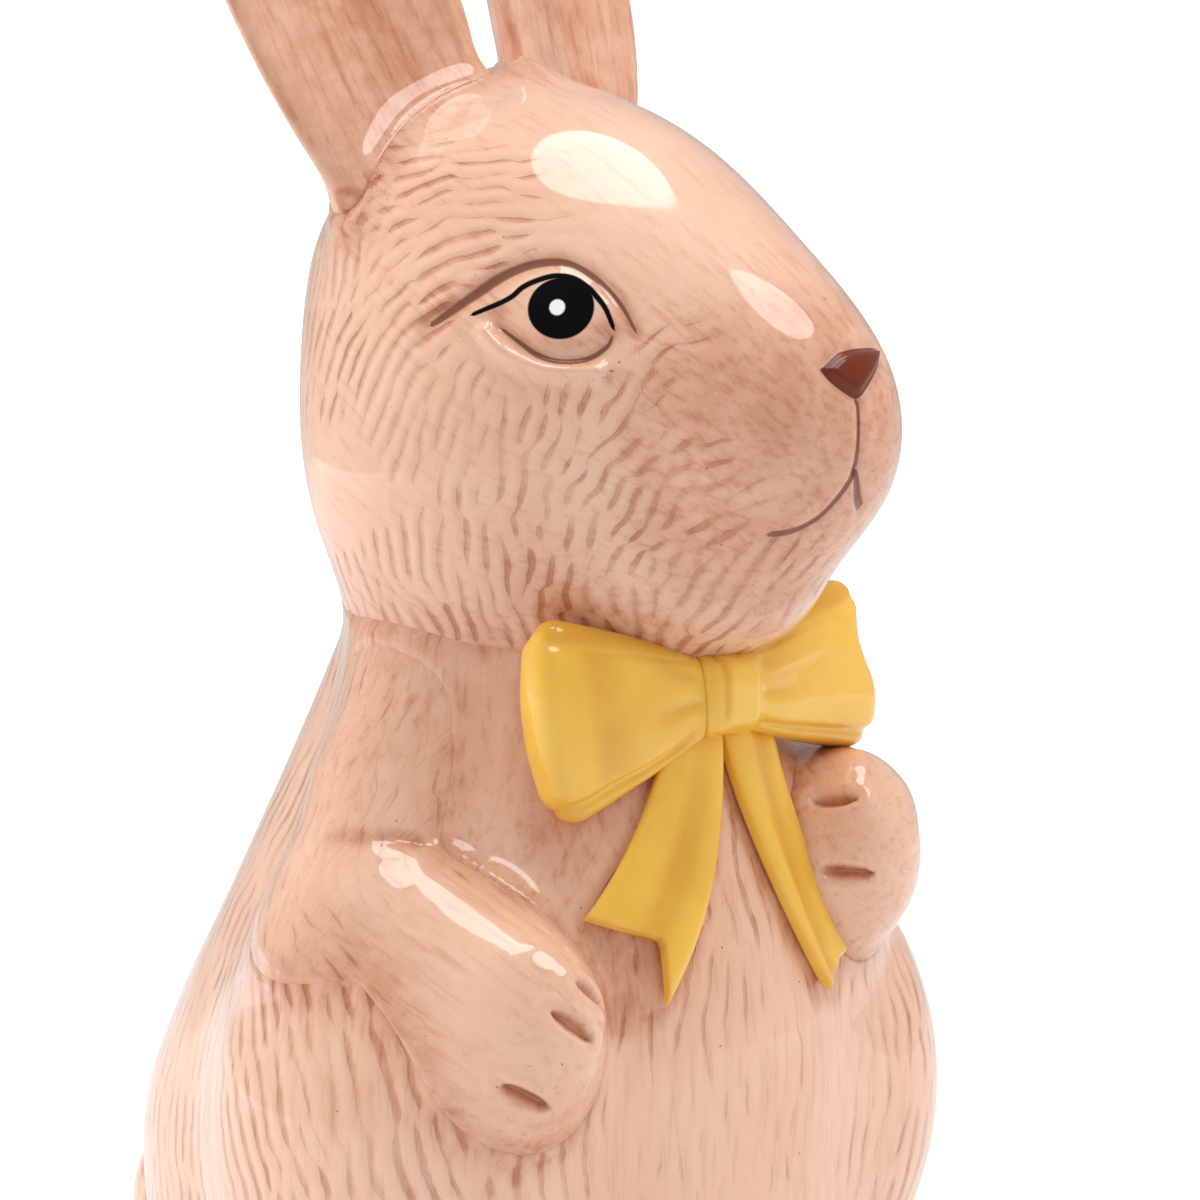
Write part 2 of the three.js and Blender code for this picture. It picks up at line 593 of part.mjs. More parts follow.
// Lens-shaped cuts between the toes, each from one place on the paw to another
function pawSlits(arm) {
  const { paw } = armJoints(arm);
  const onPaw = ([bearing, above]) => {
    const toward = v3(Math.sin(rad(bearing)), -Math.cos(rad(bearing)), Math.tan(rad(above)));
    return surfaceOn(armField(arm), paw.point, toward);
  };
  return arm.slits.map((ends) => {
    const [from, to] = ends.map(onPaw);
    const along = to.at.clone().sub(from.at);
    const outward = from.normal.clone().add(to.normal).projectOnPlane(along).normalize();
    const across = outward.clone().cross(along).normalize();
    const half = along.clone().setLength(along.length() / 2 + SLIT.spare);
    const lens = new THREE.SphereGeometry(1, ...SLIT_GRID);
    const place = new THREE.Matrix4().makeBasis(
      half,
      across.multiplyScalar(SLIT.width / 2),
      outward.multiplyScalar(SLIT.depth),
    );
    return solid(lens.applyMatrix4(place.setPosition(from.at.clone().lerp(to.at, 0.5))));
  });
}

function makeFoot(side, torso) {
  const frame = footFrame(side);
  const heart = frame.leave(v3(0, 0, 0));
  const reach = FOOT.radii[1] / 2;
  const path = {
    points: [frame.leave(v3(0, reach, 0)), frame.leave(v3(0, -reach, 0))],
    forward: [frame.leave(v3(0, -1, 0)).sub(heart)],
    outside: v3(0, 0, 1),
  };
  return solid(skin(footField(side), path, SKINS.foot)).subtract(torso.cutter);
}

function makeScut(torso) {
  const behind = v3(0, 1, 0);
  const points = [scutCentre, scutCentre.clone().add(behind)];
  const path = { points, forward: [behind], outside: v3(0, 0, 1) };
  return solid(skin(scutField, path, SKINS.scut)).subtract(torso.cutter);
}

function makeKnot() {
  const points = [v3(0, 0, -1), v3(0, 0, 1)].map((p) => p.add(knotCentre));
  return skinPair(knotField, { ...upright, points }, SKINS.knot);
}

function makeLoop(loop) {
  const { start, along, length, upright: rise } = loopFrame(loop);
  const points = LOOP_SPINE.map((share) => start.clone().addScaledVector(along, length * share));
  const path = { points, forward: [along], outside: rise };
  return skinPair(loopField(loop), path, SKINS.loop);
}

// A strip that follows the chest: a closed box of rows and lanes, bent onto the torso's surface
function makeRibbon(ribbon, grow = 0) {
  const midline = new THREE.QuadraticBezierCurve(...ribbon.line.map((place) => new THREE.Vector2(...place)));
  const strip = new THREE.BoxGeometry(2, 1, 1, RIBBON_LANES, RIBBON_ROWS, 1);
  const place = strip.getAttribute("position");
  for (let i = 0; i < place.count; i += 1) {
    const [lane, row, layer] = [place.getX(i), 0.5 - place.getY(i), place.getZ(i) + 0.5];
    const [left, inner, right] = ribbon.cut;
    const [edge, room] = lane < ribbon.notch ? [left, 1 + ribbon.notch] : [right, 1 - ribbon.notch];
    const share = row * THREE.MathUtils.lerp(inner, edge, Math.abs(lane - ribbon.notch) / room);
    const spot = midline.getPoint(share);
    const heading = midline.getTangent(share);
    const halfWidth = THREE.MathUtils.lerp(...ribbon.widths, share) / 2 + grow;
    const x = spot.x - heading.y * lane * halfWidth;
    const z = knotHeight + spot.y + heading.x * lane * halfWidth;
    const { at, normal } = surfaceOn(torsoField, v3(x, 0, z), v3(0, -1, 0));
    at.addScaledVector(normal, layer > 0.5 ? RIBBON_THICKNESS + grow : JOIN_GAP - grow);
    place.setXYZ(i, at.x, at.y, at.z);
  }
  return solid(strip);
}

const finishes = {
  glaze: () => new THREE.MeshStandardMaterial({ color: 0xf0cdb4, roughness: 0.12, metalness: 0 }),
  ribbon: () => new THREE.MeshStandardMaterial({ color: 0xecbe4b, roughness: 0.12, metalness: 0 }),
};

const rabbit = new THREE.Group();

function show(name, body, finish) {
  const mesh = new THREE.Mesh(geometryOf(body), finishes[finish]());
  mesh.name = name;
  rabbit.add(mesh);
}

const torso = makeTorso();
const head = makeHead(torso);
const knot = makeKnot();
const loopRight = makeLoop(LOOP_RIGHT);
const loopLeft = makeLoop(LOOP_LEFT);
const ribbonCutter = makeRibbon(RIBBON_LEFT, JOIN_GAP);
const without = (body, cutters) => cutters.reduce((cut, cutter) => cut.subtract(cutter), body);
const chest = [torso.cutter, head.cutter];
const overBow = [torso.cutter, knot.cutter, loopRight.cutter, loopLeft.cutter];

show("torso", torso.body, "glaze");
show("head", head.body, "glaze");
show("ear_right", makeEar(-1, head), "glaze");
show("ear_left", makeEar(1, head), "glaze");
show("arm_right", without(makeArm(ARM_RIGHT), chest), "glaze");
show("arm_left", without(makeArm(ARM_LEFT), [...chest, ribbonCutter, loopLeft.cutter]), "glaze");
show("hind_foot_right", makeFoot(-1, torso), "glaze");
show("hind_foot_left", makeFoot(1, torso), "glaze");
show("tail", makeScut(torso), "glaze");
show("bow_knot", without(knot.body, chest), "ribbon");
show("bow_loop_right", without(loopRight.body, [...chest, knot.cutter]), "ribbon");
show("bow_loop_left", without(loopLeft.body, [...chest, knot.cutter]), "ribbon");
show("bow_ribbon_right", without(makeRibbon(RIBBON_RIGHT), overBow), "ribbon");
show("bow_ribbon_left", without(makeRibbon(RIBBON_LEFT), overBow), "ribbon");

const middle = new THREE.Box3().setFromObject(rabbit).getCenter(v3(0, 0, 0));
rabbit.position.set(-middle.x, -middle.y, 0);

export default rabbit;
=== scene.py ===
import functools
import math

import bpy
import numpy as np
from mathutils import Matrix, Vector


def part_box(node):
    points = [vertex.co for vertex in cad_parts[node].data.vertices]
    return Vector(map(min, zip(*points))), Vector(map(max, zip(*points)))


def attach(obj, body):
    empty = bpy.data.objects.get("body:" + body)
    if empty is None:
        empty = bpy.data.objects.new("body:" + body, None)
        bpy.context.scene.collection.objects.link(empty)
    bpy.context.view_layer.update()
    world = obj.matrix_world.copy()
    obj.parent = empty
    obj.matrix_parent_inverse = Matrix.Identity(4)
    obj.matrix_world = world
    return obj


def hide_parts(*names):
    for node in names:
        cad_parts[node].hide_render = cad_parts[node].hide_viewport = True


bl_info = {
    "name": "Ceramic rabbit",
    "version": (1, 0, 0),
    "blender": (4, 5, 0),
    "location": "3D View > Sidebar > Rabbit",
    "description": "Skins, fur strokes, glaze and photo studio of a sitting ceramic rabbit",
    "category": "Add Mesh",
}

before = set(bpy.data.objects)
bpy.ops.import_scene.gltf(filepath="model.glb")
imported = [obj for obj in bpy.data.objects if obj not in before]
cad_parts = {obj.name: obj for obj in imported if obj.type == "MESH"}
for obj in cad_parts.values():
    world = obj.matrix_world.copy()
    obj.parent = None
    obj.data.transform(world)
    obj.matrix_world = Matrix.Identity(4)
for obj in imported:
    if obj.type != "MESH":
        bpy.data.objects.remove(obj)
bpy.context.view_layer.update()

# Sizes of the solids, in millimetres and degrees
TORSO_HEIGHTS = np.array([0, 15, 30, 45, 62, 80, 100, 115, 127, 145.0])
TORSO_SIDE = np.array([40, 44, 46, 46, 45, 41.5, 32.5, 28, 25, 24])
TORSO_FRONT = np.array([36, 40, 42, 43, 43.5, 40.5, 33.5, 28, 25, 24])
TORSO_BACK = np.array([58, 66, 71, 71, 61, 48, 39, 31, 25.5, 24])
COLLAR_HEIGHT = 130
BASE_EDGE = 4
BASE_SPARE = 0.2
COLLAR_EDGE = 3
VENT_RADIUS = 6
VENT_BACK = 24
VENT_DEPTH = 6
HAUNCH = {"out": 35, "back": -8.5, "up": 50, "radii": (21, 27.5, 32.5), "toe_in": 6, "melt": 12}
HEAD_MIDDLE = np.array([0, 0, 154.5])
HEAD_TURN = 3.5
SKULL = {"at": (0, 1.6, 5.6), "radii": (31.4, 34.5, 31.7)}
SNOUT = {"at": (0, -32, -5.4), "radii": (19.8, 29.5, 23.3), "droop": 13, "melt": 21.5}
CHEEK = {"at": (16.5, -2.7, -15.5), "radii": (19.5, 26.7, 24.6), "melt": 14}
THROAT = {"at": (0, -22, -30), "radii": (16, 22, 11), "melt": 14}
EYE = {"round": 42, "above": 13}
NOSE_ABOVE = 1
EAR = {"out": 15, "back": 11, "sink": 10.5, "lean": 11, "tilt": 24, "turn": 11}
EAR_LENGTH = 86
EAR_HALF_WIDTH = 17.5
EAR_HALF_THICKNESS = 4.5
EAR_SCOOP = 5
EAR_ROOT = 0.2
EAR_FULLNESS = (0.8, 0.6)
ARM_RIGHT = {
    "side": -1,
    "shoulder": (-86, 110, -4.5, 9.5),
    "upper": (-85, 97, -1, 9.5),
    "elbow": (-81.5, 79, -1, 13),
    "paw": (-49, 67.5, 4.5, 15),
    "slits": (((10, 32), (30, 18)), ((-11, 19), (11, 1)), ((-42, -27), (-11, -37))),
    "folds": (
        (((-43.3, -23.5, 82.3), (-45.7, -26.2, 76.8), (-47.1, -27.8, 71.1)), 0.12, 0.15, 1.2),
        (((-40.1, -34.7, 53.3), (-39.1, -35.1, 50.8), (-37.8, -35.4, 48.6)), 0.8, 0.8, 1.1),
        (((-42.5, -6.8, 89.8), (-40.2, -11.2, 90.3), (-37.8, -15, 90.8)), 0.9, 1.1, 1.6),
    ),
}
ARM_LEFT = {
    "side": 1,
    "shoulder": (86, 110, -4.5, 9.5),
    "upper": (86, 99, 0, 9.5),
    "elbow": (82, 86, 1.8, 12),
    "paw": (34.4, 86.5, 4.5, 13.8),
    "slits": (((-79, 40), (-41, 39)), ((-64, -7), (-31, -7))),
    "folds": (),
}
ARM_FLATNESS = 0.85
FOREARM_FLATNESS = 0.68
SHOULDER_MELT = 4
ELBOW_MELT = 3
FOOT = {"out": 23, "ahead": -7, "up": 9, "radii": (13, 23, 12.5), "splay": 7, "edge": 3}
SCUT = {"behind": 2, "up": 24, "radii": (15, 14, 16)}
KNOT = {"height": 110.4, "lift": 4.8, "half": (4.6, 5.2, 5.8)}
LOOP_RIGHT = {
    "end": (-28, 6.5, -2.9),
    "root_half": 5.5,
    "end_half": 15.8,
    "thickness": 5,
    "tilt": 2,
    "dip": 0,
}
LOOP_LEFT = {
    "end": (33, 6, 1.3),
    "root_half": 5.5,
    "end_half": 13.3,
    "thickness": 4.5,
    "tilt": -4,
    "dip": 0.13,
}
DIP = {"above": 0.35, "spread": 0.5}
LOOP_ROOT = 3
LOOP_ROOT_THICKNESS = 3.5
RIBBON_THICKNESS = 3.2
RIBBON_RIGHT = {
    "line": ((-2, -3.4), (-7, -19.4), (-21, -36.9)),
    "widths": (7.5, 14),
    "cut": (0.9, 0.84, 1),
    "notch": 1 / 3,
}
RIBBON_LEFT = {
    "line": ((6.5, -5.4), (6, -25.4), (16, -40.4)),
    "widths": (10.5, 6.5),
    "cut": (1, 0.94, 0.97),
    "notch": 0,
}

# How wide each piece and its neighbour round off into each other, where slip fills the seam between them
FILLET = {"neck": 11, "ear": 8, "arm": 9, "foot": 3, "tail": 3, "knot": 3}

# Directions of the fur: degrees round from straight ahead, degrees above the middle of the head or height up
# the torso, heading away from upright towards the rabbit's left, and how thickly the strokes lie there
HEAD_FUR = (
    (-107, 25, -14, 0.6), (-106, 3, 5, 0.8), (-107, -14, 16, 0.6), (-98, -31, -8, 0.6), (-86, 24, 53, 0.9),
    (-64, 33, 83, 0.9), (-83, 40, 76, 0.7), (-83, 9, 32, 0.9), (-79, -6, 28, 1), (-81, -20, 17, 1),
    (-72, -32, 1, 1), (-61, 0, 27, 0.9), (-49, -3, 8, 1), (-38, -4, 19, 1), (-31, 2, 33, 0.5),
    (-59, -16, -6, 1), (-45, -14, 22, 1), (-56, -31, -1, 1), (-43, -30, 7, 1), (-32, -20, 39, 1),
    (-29, -37, 11, 1), (-21, -25, 50, 1), (-3, -49, -8, 1), (-8, -32, 20, 0.9), (-14, -20, 51, 0.6),
    (-22, -13, 67, 0.4), (-5, -26, 12, 0.3), (-29, -7, 45, 0.4), (-21, -1, 79, 0.22), (-31, 31, 83, 0),
    (-14, 25, -89, 0), (-46, 36, 80, 0.3), (-2, 5, -86, 0), (-12, -6, 70, 0.1), (-29, -53, -35, 1),
    (-57, -43, -1, 1), (-75, -42, -20, 0.7), (-9, -15, 68, 0), (-30, 75, 84, 0.1), (-90, 65, 69, 0.3),
    (-150, 40, 5, 0.7), (-175, 20, 0, 0.8), (-150, 0, 8, 0.8), (-175, -15, 0, 0.8), (-140, -30, 5, 0.8),
)
TORSO_FUR = (
    (-114, 113, 12, 0.3), (-93, 108, 4, 0.3), (-60, 107, 2, 0.2), (-64, 96, -5, 0.25), (-40, 87, 19, 0.25),
    (-27, 89, 44, 0.3), (-25, 77, 35, 0.35), (-1, 82, 1, 0.5), (-9, 70, 12, 0.3), (-29, 57, 5, 0.3),
    (-10, 56, -1, 0.3), (-16, 45, -2, 0.3), (-40, 47, -14, 0.4), (-125, 81, 12, 0.9), (-133, 69, 26, 0.9),
    (-136, 55, 6, 0.9), (-100, 62, -30, 0.9), (-137, 41, -10, 0.9), (-96, 49, -6, 0.9), (-82, 65, -33, 0.9),
    (-75, 55, -23, 0.9), (-64, 51, -23, 0.9), (-54, 48, -18, 0.8), (-44, 20, -8, 0.5), (-80, 25, -12, 0.9),
    (-110, 22, -8, 0.9), (-119, 96, 6, 0.7), (-140, 100, 8, 0.8), (-170, 85, 4, 0.9), (-170, 60, 2, 0.9),
    (-160, 35, -4, 0.9), (-10, 20, 0, 0.4),
)
ARM_FUR = 0.45

# The photo's camera: degrees round and up, its distance, what it looks at in the build frame, and its lens
CAMERA = {"azimuth": -42, "elevation": 7, "distance": 1000, "target": (5.2, -4.7, 119.9), "lens": 214.3}
# Soft boxes that hang level: name, middle, sides and turn. Panels that stand round: name, degrees round and
# up, and sides
SOFT_BOXES = (
    ("crown soft box", (90, 70, 800), (570, 235), 17),
    ("muzzle soft box", (80, -255, 800), (400, 280), 15),
)
SIDE_PANELS = (
    ("left panel", -147, 8, (1000, 1200)),
    ("right panel", 63, 8, (1000, 1200)),
)
PANEL_DISTANCE = 900


def direction_to(azimuth, elevation):
    """The way out to degrees round and up, and the turn of something there that looks back."""
    a, e = math.radians(azimuth), math.radians(elevation)
    way = np.array([math.sin(a) * math.cos(e), -math.cos(a) * math.cos(e), math.sin(e)])
    return way, (math.pi / 2 - e, 0, a)


TO_CAMERA = direction_to(CAMERA["azimuth"], CAMERA["elevation"])[0]

# Lines of the face, in millimetres on the skin of the head: u runs across, towards the nose beside the eye
# and towards the rabbit's left at the nose, and v runs up. Half widths of a line go from its start to its end
EYEBALL = {"at": (-1, 0.1), "radii": (8.6, 5.8)}
PUPIL = {"at": (-0.3, 0.8), "radii": (4.6, 4.3)}
GLINT = {"at": (-0.8, 0.8), "radius": 1.1}
LID_LINE = (
    (-13.2, -0.2), (-10.5, 0.9), (-7.5, 2.2), (-6, 3.6), (-4.1, 4.6), (-1.8, 5.3), (0.7, 5.1), (2.8, 3.9),
    (4.3, 2.6), (5.9, 0.7), (7.2, -2.1),
)
LID_LINE_HALVES = (0.3, 0.5, 0.5, 0.45, 0.3)
UPPER_CREASE = (
    (-19.7, -1.1), (-17.8, -0.1), (-12.9, 3.1), (-9.2, 5.6), (-5.4, 7.2), (-1.5, 7.6), (1.5, 6.7),
    (4.6, 4.7), (7.6, 1.7), (10.2, -2.4),
)
UPPER_CREASE_HALVES = (0.35, 0.8, 0.6, 0.42, 0.2)
LOWER_CREASE = ((-8.9, -1.8), (-6, -3.8), (-3.2, -5.6), (0, -6.4), (3.6, -5.9), (6.1, -4.1), (6.8, -2.6))
LOWER_CREASE_HALVES = (0.2, 0.4, 0.4, 0.2)
LOWER_LID = ((-10.8, -2.6), (-7.9, -5.2), (-3.5, -7.1), (0, -7.6), (5.5, -7.6))
PINHOLE = {"at": (7.1, -7.5), "radius": 0.25}
INNER_CORNER = {"at": (6.3, -2), "stretch": 1.2, "width": 2, "stain": 0.8}
OUTER_CORNER = {"at": (-9.2, 0.3), "stretch": 1.5, "width": 1.8, "stain": 0.6}
BARE_OVAL = {"at": (-2, -0.5), "radii": (13, 8.8), "edge": (0.9, 1.15)}
NOSE = (
    (-6.3, 1.6), (-2.6, 3.4), (2.6, 3.8), (6.7, 3.8), (5.4, 1.8), (0.6, -1.7), (-2, -3.3), (-4, -2.2),
    (-5.6, -0.2),
)
PHILTRUM = ((-2, -3.3), (-2.4, -6.1), (-2.6, -8.6), (-2.8, -11), (-2.7, -12.1))
PHILTRUM_HALVES = (0.3, 0.28, 0.35)
SMILE = (
    (-2.7, -12.1), (-3.7, -13.9), (-4.6, -15.1), (-5.7, -16.3), (-7.3, -16.8), (-8.7, -16.6), (-10, -16.1),
)
SMILE_HALVES = (0.4, 0.34, 0.18)
FAR_SMILE = ((-2.7, -12.1), (-2.1, -13.7), (-1.2, -15.2), (0.3, -16.4))
FAR_SMILE_HALVES = (0.3, 0.55, 0.5)
CREASES = ("upper_crease", "lower_crease")
MOUTH_LINES = ("philtrum", "smile", "far_smile")
# Mark in the joint of the near ear, with its drip, in the build frame
EAR_NOTCH = (
    (-26.4, 8.3, 177.8), (-28.5, 9.2, 177.8), (-29.3, 10, 177.8), (-27.4, 9.8, 174.6), (-28.7, 8.3, 172),
)

TINY = 1e-12
RAY_REACH = 90
HALVINGS = 22
LINE_POINTS = 70
METRE = 0.001


# Small vector sums
def unit(v):
    """Vectors over their own length."""
    return v / (np.linalg.norm(v, axis=-1, keepdims=True) + TINY)


def dot(a, b):
    """Product of matching vectors, summed over the last axis."""
    return np.sum(a * b, axis=-1)


def ease(low, high, x):
    """Rises smoothly from 0 at low to 1 at high: three squares less two cubes of the share between them."""
    t = np.clip((x - low) / (high - low), 0, 1)
    return t * t * (3 - 2 * t)


def melt(a, b, width):
    """The lower of two distances, less a quarter of the width times the squared closeness of the two."""
    closeness = np.maximum(width - np.abs(a - b), 0) / width
    return np.minimum(a, b) - closeness**2 * width / 4


def trim(a, b, width):
    """The inside of both distances, with a rounded edge of that width."""
    return -melt(-a, -b, width)


def turned(degrees, axis):
    """Turn about one axis as a matrix whose columns are the turned axes."""
    cos, sin = math.cos(math.radians(degrees)), math.sin(math.radians(degrees))
    a, b = (axis + 1) % 3, (axis + 2) % 3
    matrix = np.eye(3)
    matrix[a, a], matrix[a, b], matrix[b, a], matrix[b, b] = cos, -sin, sin, cos
    return matrix


class Frame:
    """A place and three turned axes inside the build frame."""

    def __init__(self, at, axes=None):
        self.at = np.array(at, float)
        self.axes = np.eye(3) if axes is None else axes

    def enter(self, p):
        """Points of the build frame as seen from the place."""
        return (p - self.at) @ self.axes

    def leave(self, q):
        """Points seen from the place, back in the build frame."""
        return q @ self.axes.T + self.at


# Distance fields: below zero inside a body, over arrays of points
def ellipsoid(q, radii):
    """Length over the radii, times that length less one, over the length over the squared radii."""
    once = np.linalg.norm(q / np.array(radii, float), axis=-1)
    twice = np.linalg.norm(q / np.array(radii, float) ** 2, axis=-1)
    return once * (once - 1) / (twice + TINY)


def profile(values, height):
    """A cubic curve through the torso's stations and its slope, at each height."""
    heights = TORSO_HEIGHTS
    last = len(heights) - 1
    lower = np.maximum(np.arange(last + 1) - 1, 0)
    upper = np.minimum(np.arange(last + 1) + 1, last)
    slopes = (values[upper] - values[lower]) / (heights[upper] - heights[lower])
    i = np.clip(np.searchsorted(heights, height) - 1, 0, last - 1)
    span = heights[i + 1] - heights[i]
    t = np.clip((height - heights[i]) / span, 0, 1)
    a, b = values[i], values[i + 1]
    ma, mb = slopes[i] * span, slopes[i + 1] * span
    c, d = 3 * (b - a) - 2 * ma - mb, 2 * (a - b) + ma + mb
    return a + ma * t + c * t**2 + d * t**3, (ma + 2 * c * t + 3 * d * t**2) / span


def torso_column(p):
    """Way from the axis less an oval's reach at that height, over the steepness of the oval's growth."""
    side, side_slope = profile(TORSO_SIDE, p[..., 2])
    front, front_slope = profile(TORSO_FRONT, p[..., 2])
    back, back_slope = profile(TORSO_BACK, p[..., 2])
    ahead = p[..., 1] < 0
    depth, depth_slope = np.where(ahead, front, back), np.where(ahead, front_slope, back_slope)
    bearing = np.arctan2(p[..., 1], p[..., 0])
    cos, sin = np.cos(bearing), np.sin(bearing)
    reach = 1 / np.hypot(cos / side, sin / depth)
    growth = reach**3 * (cos**2 * side_slope / side**3 + sin**2 * depth_slope / depth**3)
    return (np.hypot(p[..., 0], p[..., 1]) - reach) / np.hypot(1, growth)


def torso_body(p):
    """The egg-shaped column with both haunches melted in."""
    d = torso_column(p)
    for side in (-1, 1):
        middle = (side * HAUNCH["out"], HAUNCH["back"], HAUNCH["up"])
        haunch = Frame(middle, turned(-side * HAUNCH["toe_in"], 2))
        d = melt(d, ellipsoid(haunch.enter(p), HAUNCH["radii"]), HAUNCH["melt"])
    return d


def torso_field(p):
    """The torso between its base and its collar."""
    height = p[..., 2]
    return trim(trim(torso_body(p), -height - BASE_SPARE, BASE_EDGE), height - COLLAR_HEIGHT, COLLAR_EDGE)


HEAD = Frame(HEAD_MIDDLE, turned(HEAD_TURN, 2))


def head_field(p):
    """Skull, snout, cheeks and throat, melted into one."""
    q = HEAD.enter(p)
    snout = Frame(SNOUT["at"], turned(SNOUT["droop"], 0))
    d = ellipsoid(q - np.array(SKULL["at"]), SKULL["radii"])
    d = melt(d, ellipsoid(snout.enter(q), SNOUT["radii"]), SNOUT["melt"])
    for side in (-1, 1):
        cheek = np.array([side * CHEEK["at"][0], *CHEEK["at"][1:]])
        d = melt(d, ellipsoid(q - cheek, CHEEK["radii"]), CHEEK["melt"])
    return melt(d, ellipsoid(q - np.array(THROAT["at"]), THROAT["radii"]), THROAT["melt"])


def ear_frame(side):
    """Root of an ear on the crown, leaning out and tilted back, with its front turned outwards."""
    across = EAR["out"] / SKULL["radii"][0]
    along = (EAR["back"] - SKULL["at"][1]) / SKULL["radii"][1]
    crown = SKULL["at"][2] + SKULL["radii"][2] * math.sqrt(1 - across**2 - along**2)
    root = np.array([side * EAR["out"], EAR["back"], crown - EAR["sink"]])
    axes = turned(side * EAR["lean"], 1) @ turned(-EAR["tilt"], 0) @ turned(side * EAR["turn"], 2)
    return Frame(HEAD.leave(root), HEAD.axes @ axes)


def ear_field(side):
    """A leaf whose half width follows a sine arch, with its edges curled to the front."""
    frame_of_ear = ear_frame(side)

    def field(p):
        q = frame_of_ear.enter(p)
        up = np.clip(q[..., 2] / EAR_LENGTH, 0, 1)
        arch = math.pi * (EAR_ROOT + (1 - EAR_ROOT) * up)
        power = np.where(arch < math.pi / 2, *EAR_FULLNESS)
        half = EAR_HALF_WIDTH * np.maximum(np.sin(arch), 0) ** power + 1e-6
        curled = q[..., 1] + (q[..., 0] / EAR_HALF_WIDTH) ** 2 * EAR_SCOOP
        leaf = (np.hypot(q[..., 0] / half, curled / EAR_HALF_THICKNESS) - 1) * EAR_HALF_THICKNESS
        return trim(leaf, np.maximum(q[..., 2] - EAR_LENGTH, -q[..., 2]), EAR_HALF_THICKNESS)

    return field


def flatten(v, normal):
    """Vectors without their share along a direction."""
    n = unit(normal)
    return v - dot(v, n)[..., None] * n


def limb(a, b, radii, squeeze, flatness):
    """A tapered capsule from a to b, squeezed along one direction."""
    axis = b - a
    thin = unit(flatten(squeeze, axis))

    def field(p):
        offset = p - a
        along = np.clip(offset @ axis / (axis @ axis), 0, 1)
        offset = offset - along[..., None] * axis
        offset = offset + (1 / flatness - 1) * (offset @ thin)[..., None] * thin
        radius = radii[0] + (radii[1] - radii[0]) * along
        return (np.linalg.norm(offset, axis=-1) - radius) * (1 + flatness) / 2

    return field


def over_torso(bearing, height, lift):
    """A point over the torso's surface, by bearing from straight ahead and height."""
    cos, sin = math.sin(math.radians(bearing)), -math.cos(math.radians(bearing))
    depth = profile(TORSO_FRONT if sin < 0 else TORSO_BACK, np.array(float(height)))[0]
    side = profile(TORSO_SIDE, np.array(float(height)))[0]
    reach = 1 / math.hypot(cos / side, sin / depth) + lift
    return np.array([cos * reach, sin * reach, height])


def level(v):
    """A vector without its height."""
    return v * np.array([1, 1, 0])


ARM_JOINTS = ("shoulder", "upper", "elbow", "paw")


def arm_points(arm):
    """The four joints of an arm as points."""
    return [over_torso(*arm[name][:3]) for name in ARM_JOINTS]


def arm_field(arm):
    """Upper arm, elbow and flat forearm, melted into one."""
    points = arm_points(arm)
    radii = [arm[name][3] for name in ARM_JOINTS]
    outside = unit(level(points[2]))
    between = unit(level(points[2] + points[3]))
    top = limb(points[0], points[1], radii[0:2], outside, ARM_FLATNESS)
    lower = limb(points[1], points[2], radii[1:3], outside, ARM_FLATNESS)
    forearm = limb(points[2], points[3], radii[2:4], between, FOREARM_FLATNESS)
    return lambda p: melt(melt(top(p), lower(p), SHOULDER_MELT), forearm(p), ELBOW_MELT)


def foot_frame(side):
    """Middle of a hind foot in front of its haunch."""
    ahead = -profile(TORSO_FRONT, np.array(float(FOOT["up"])))[0] - FOOT["ahead"]
    return Frame((side * FOOT["out"], ahead, FOOT["up"]), turned(side * FOOT["splay"], 2))


def foot_field(side):
    """A flat-bottomed ellipsoid."""
    frame_of_foot = foot_frame(side)
    return lambda p: trim(ellipsoid(frame_of_foot.enter(p), FOOT["radii"]), -p[..., 2], FOOT["edge"])


SCUT_BACK = float(profile(TORSO_BACK, np.array(float(SCUT["up"])))[0]) + SCUT["behind"]
SCUT_MIDDLE = np.array([0, SCUT_BACK, SCUT["up"]])


def scut_field(p):
    """A round tail."""
    return ellipsoid(p - SCUT_MIDDLE, SCUT["radii"])


KNOT_FRONT = float(profile(TORSO_FRONT, np.array(KNOT["height"]))[0]) + KNOT["lift"]
KNOT_MIDDLE = np.array([0, -KNOT_FRONT, KNOT["height"]])


def knot_field(p):
    """A cushion-shaped block with rounded edges."""
    x, y, z = np.moveaxis(np.abs((p - KNOT_MIDDLE) / np.array(KNOT["half"])), -1, 0)
    return ((x**4 + y**2.5 + z**4) ** 0.25 - 1) * KNOT["half"][0]


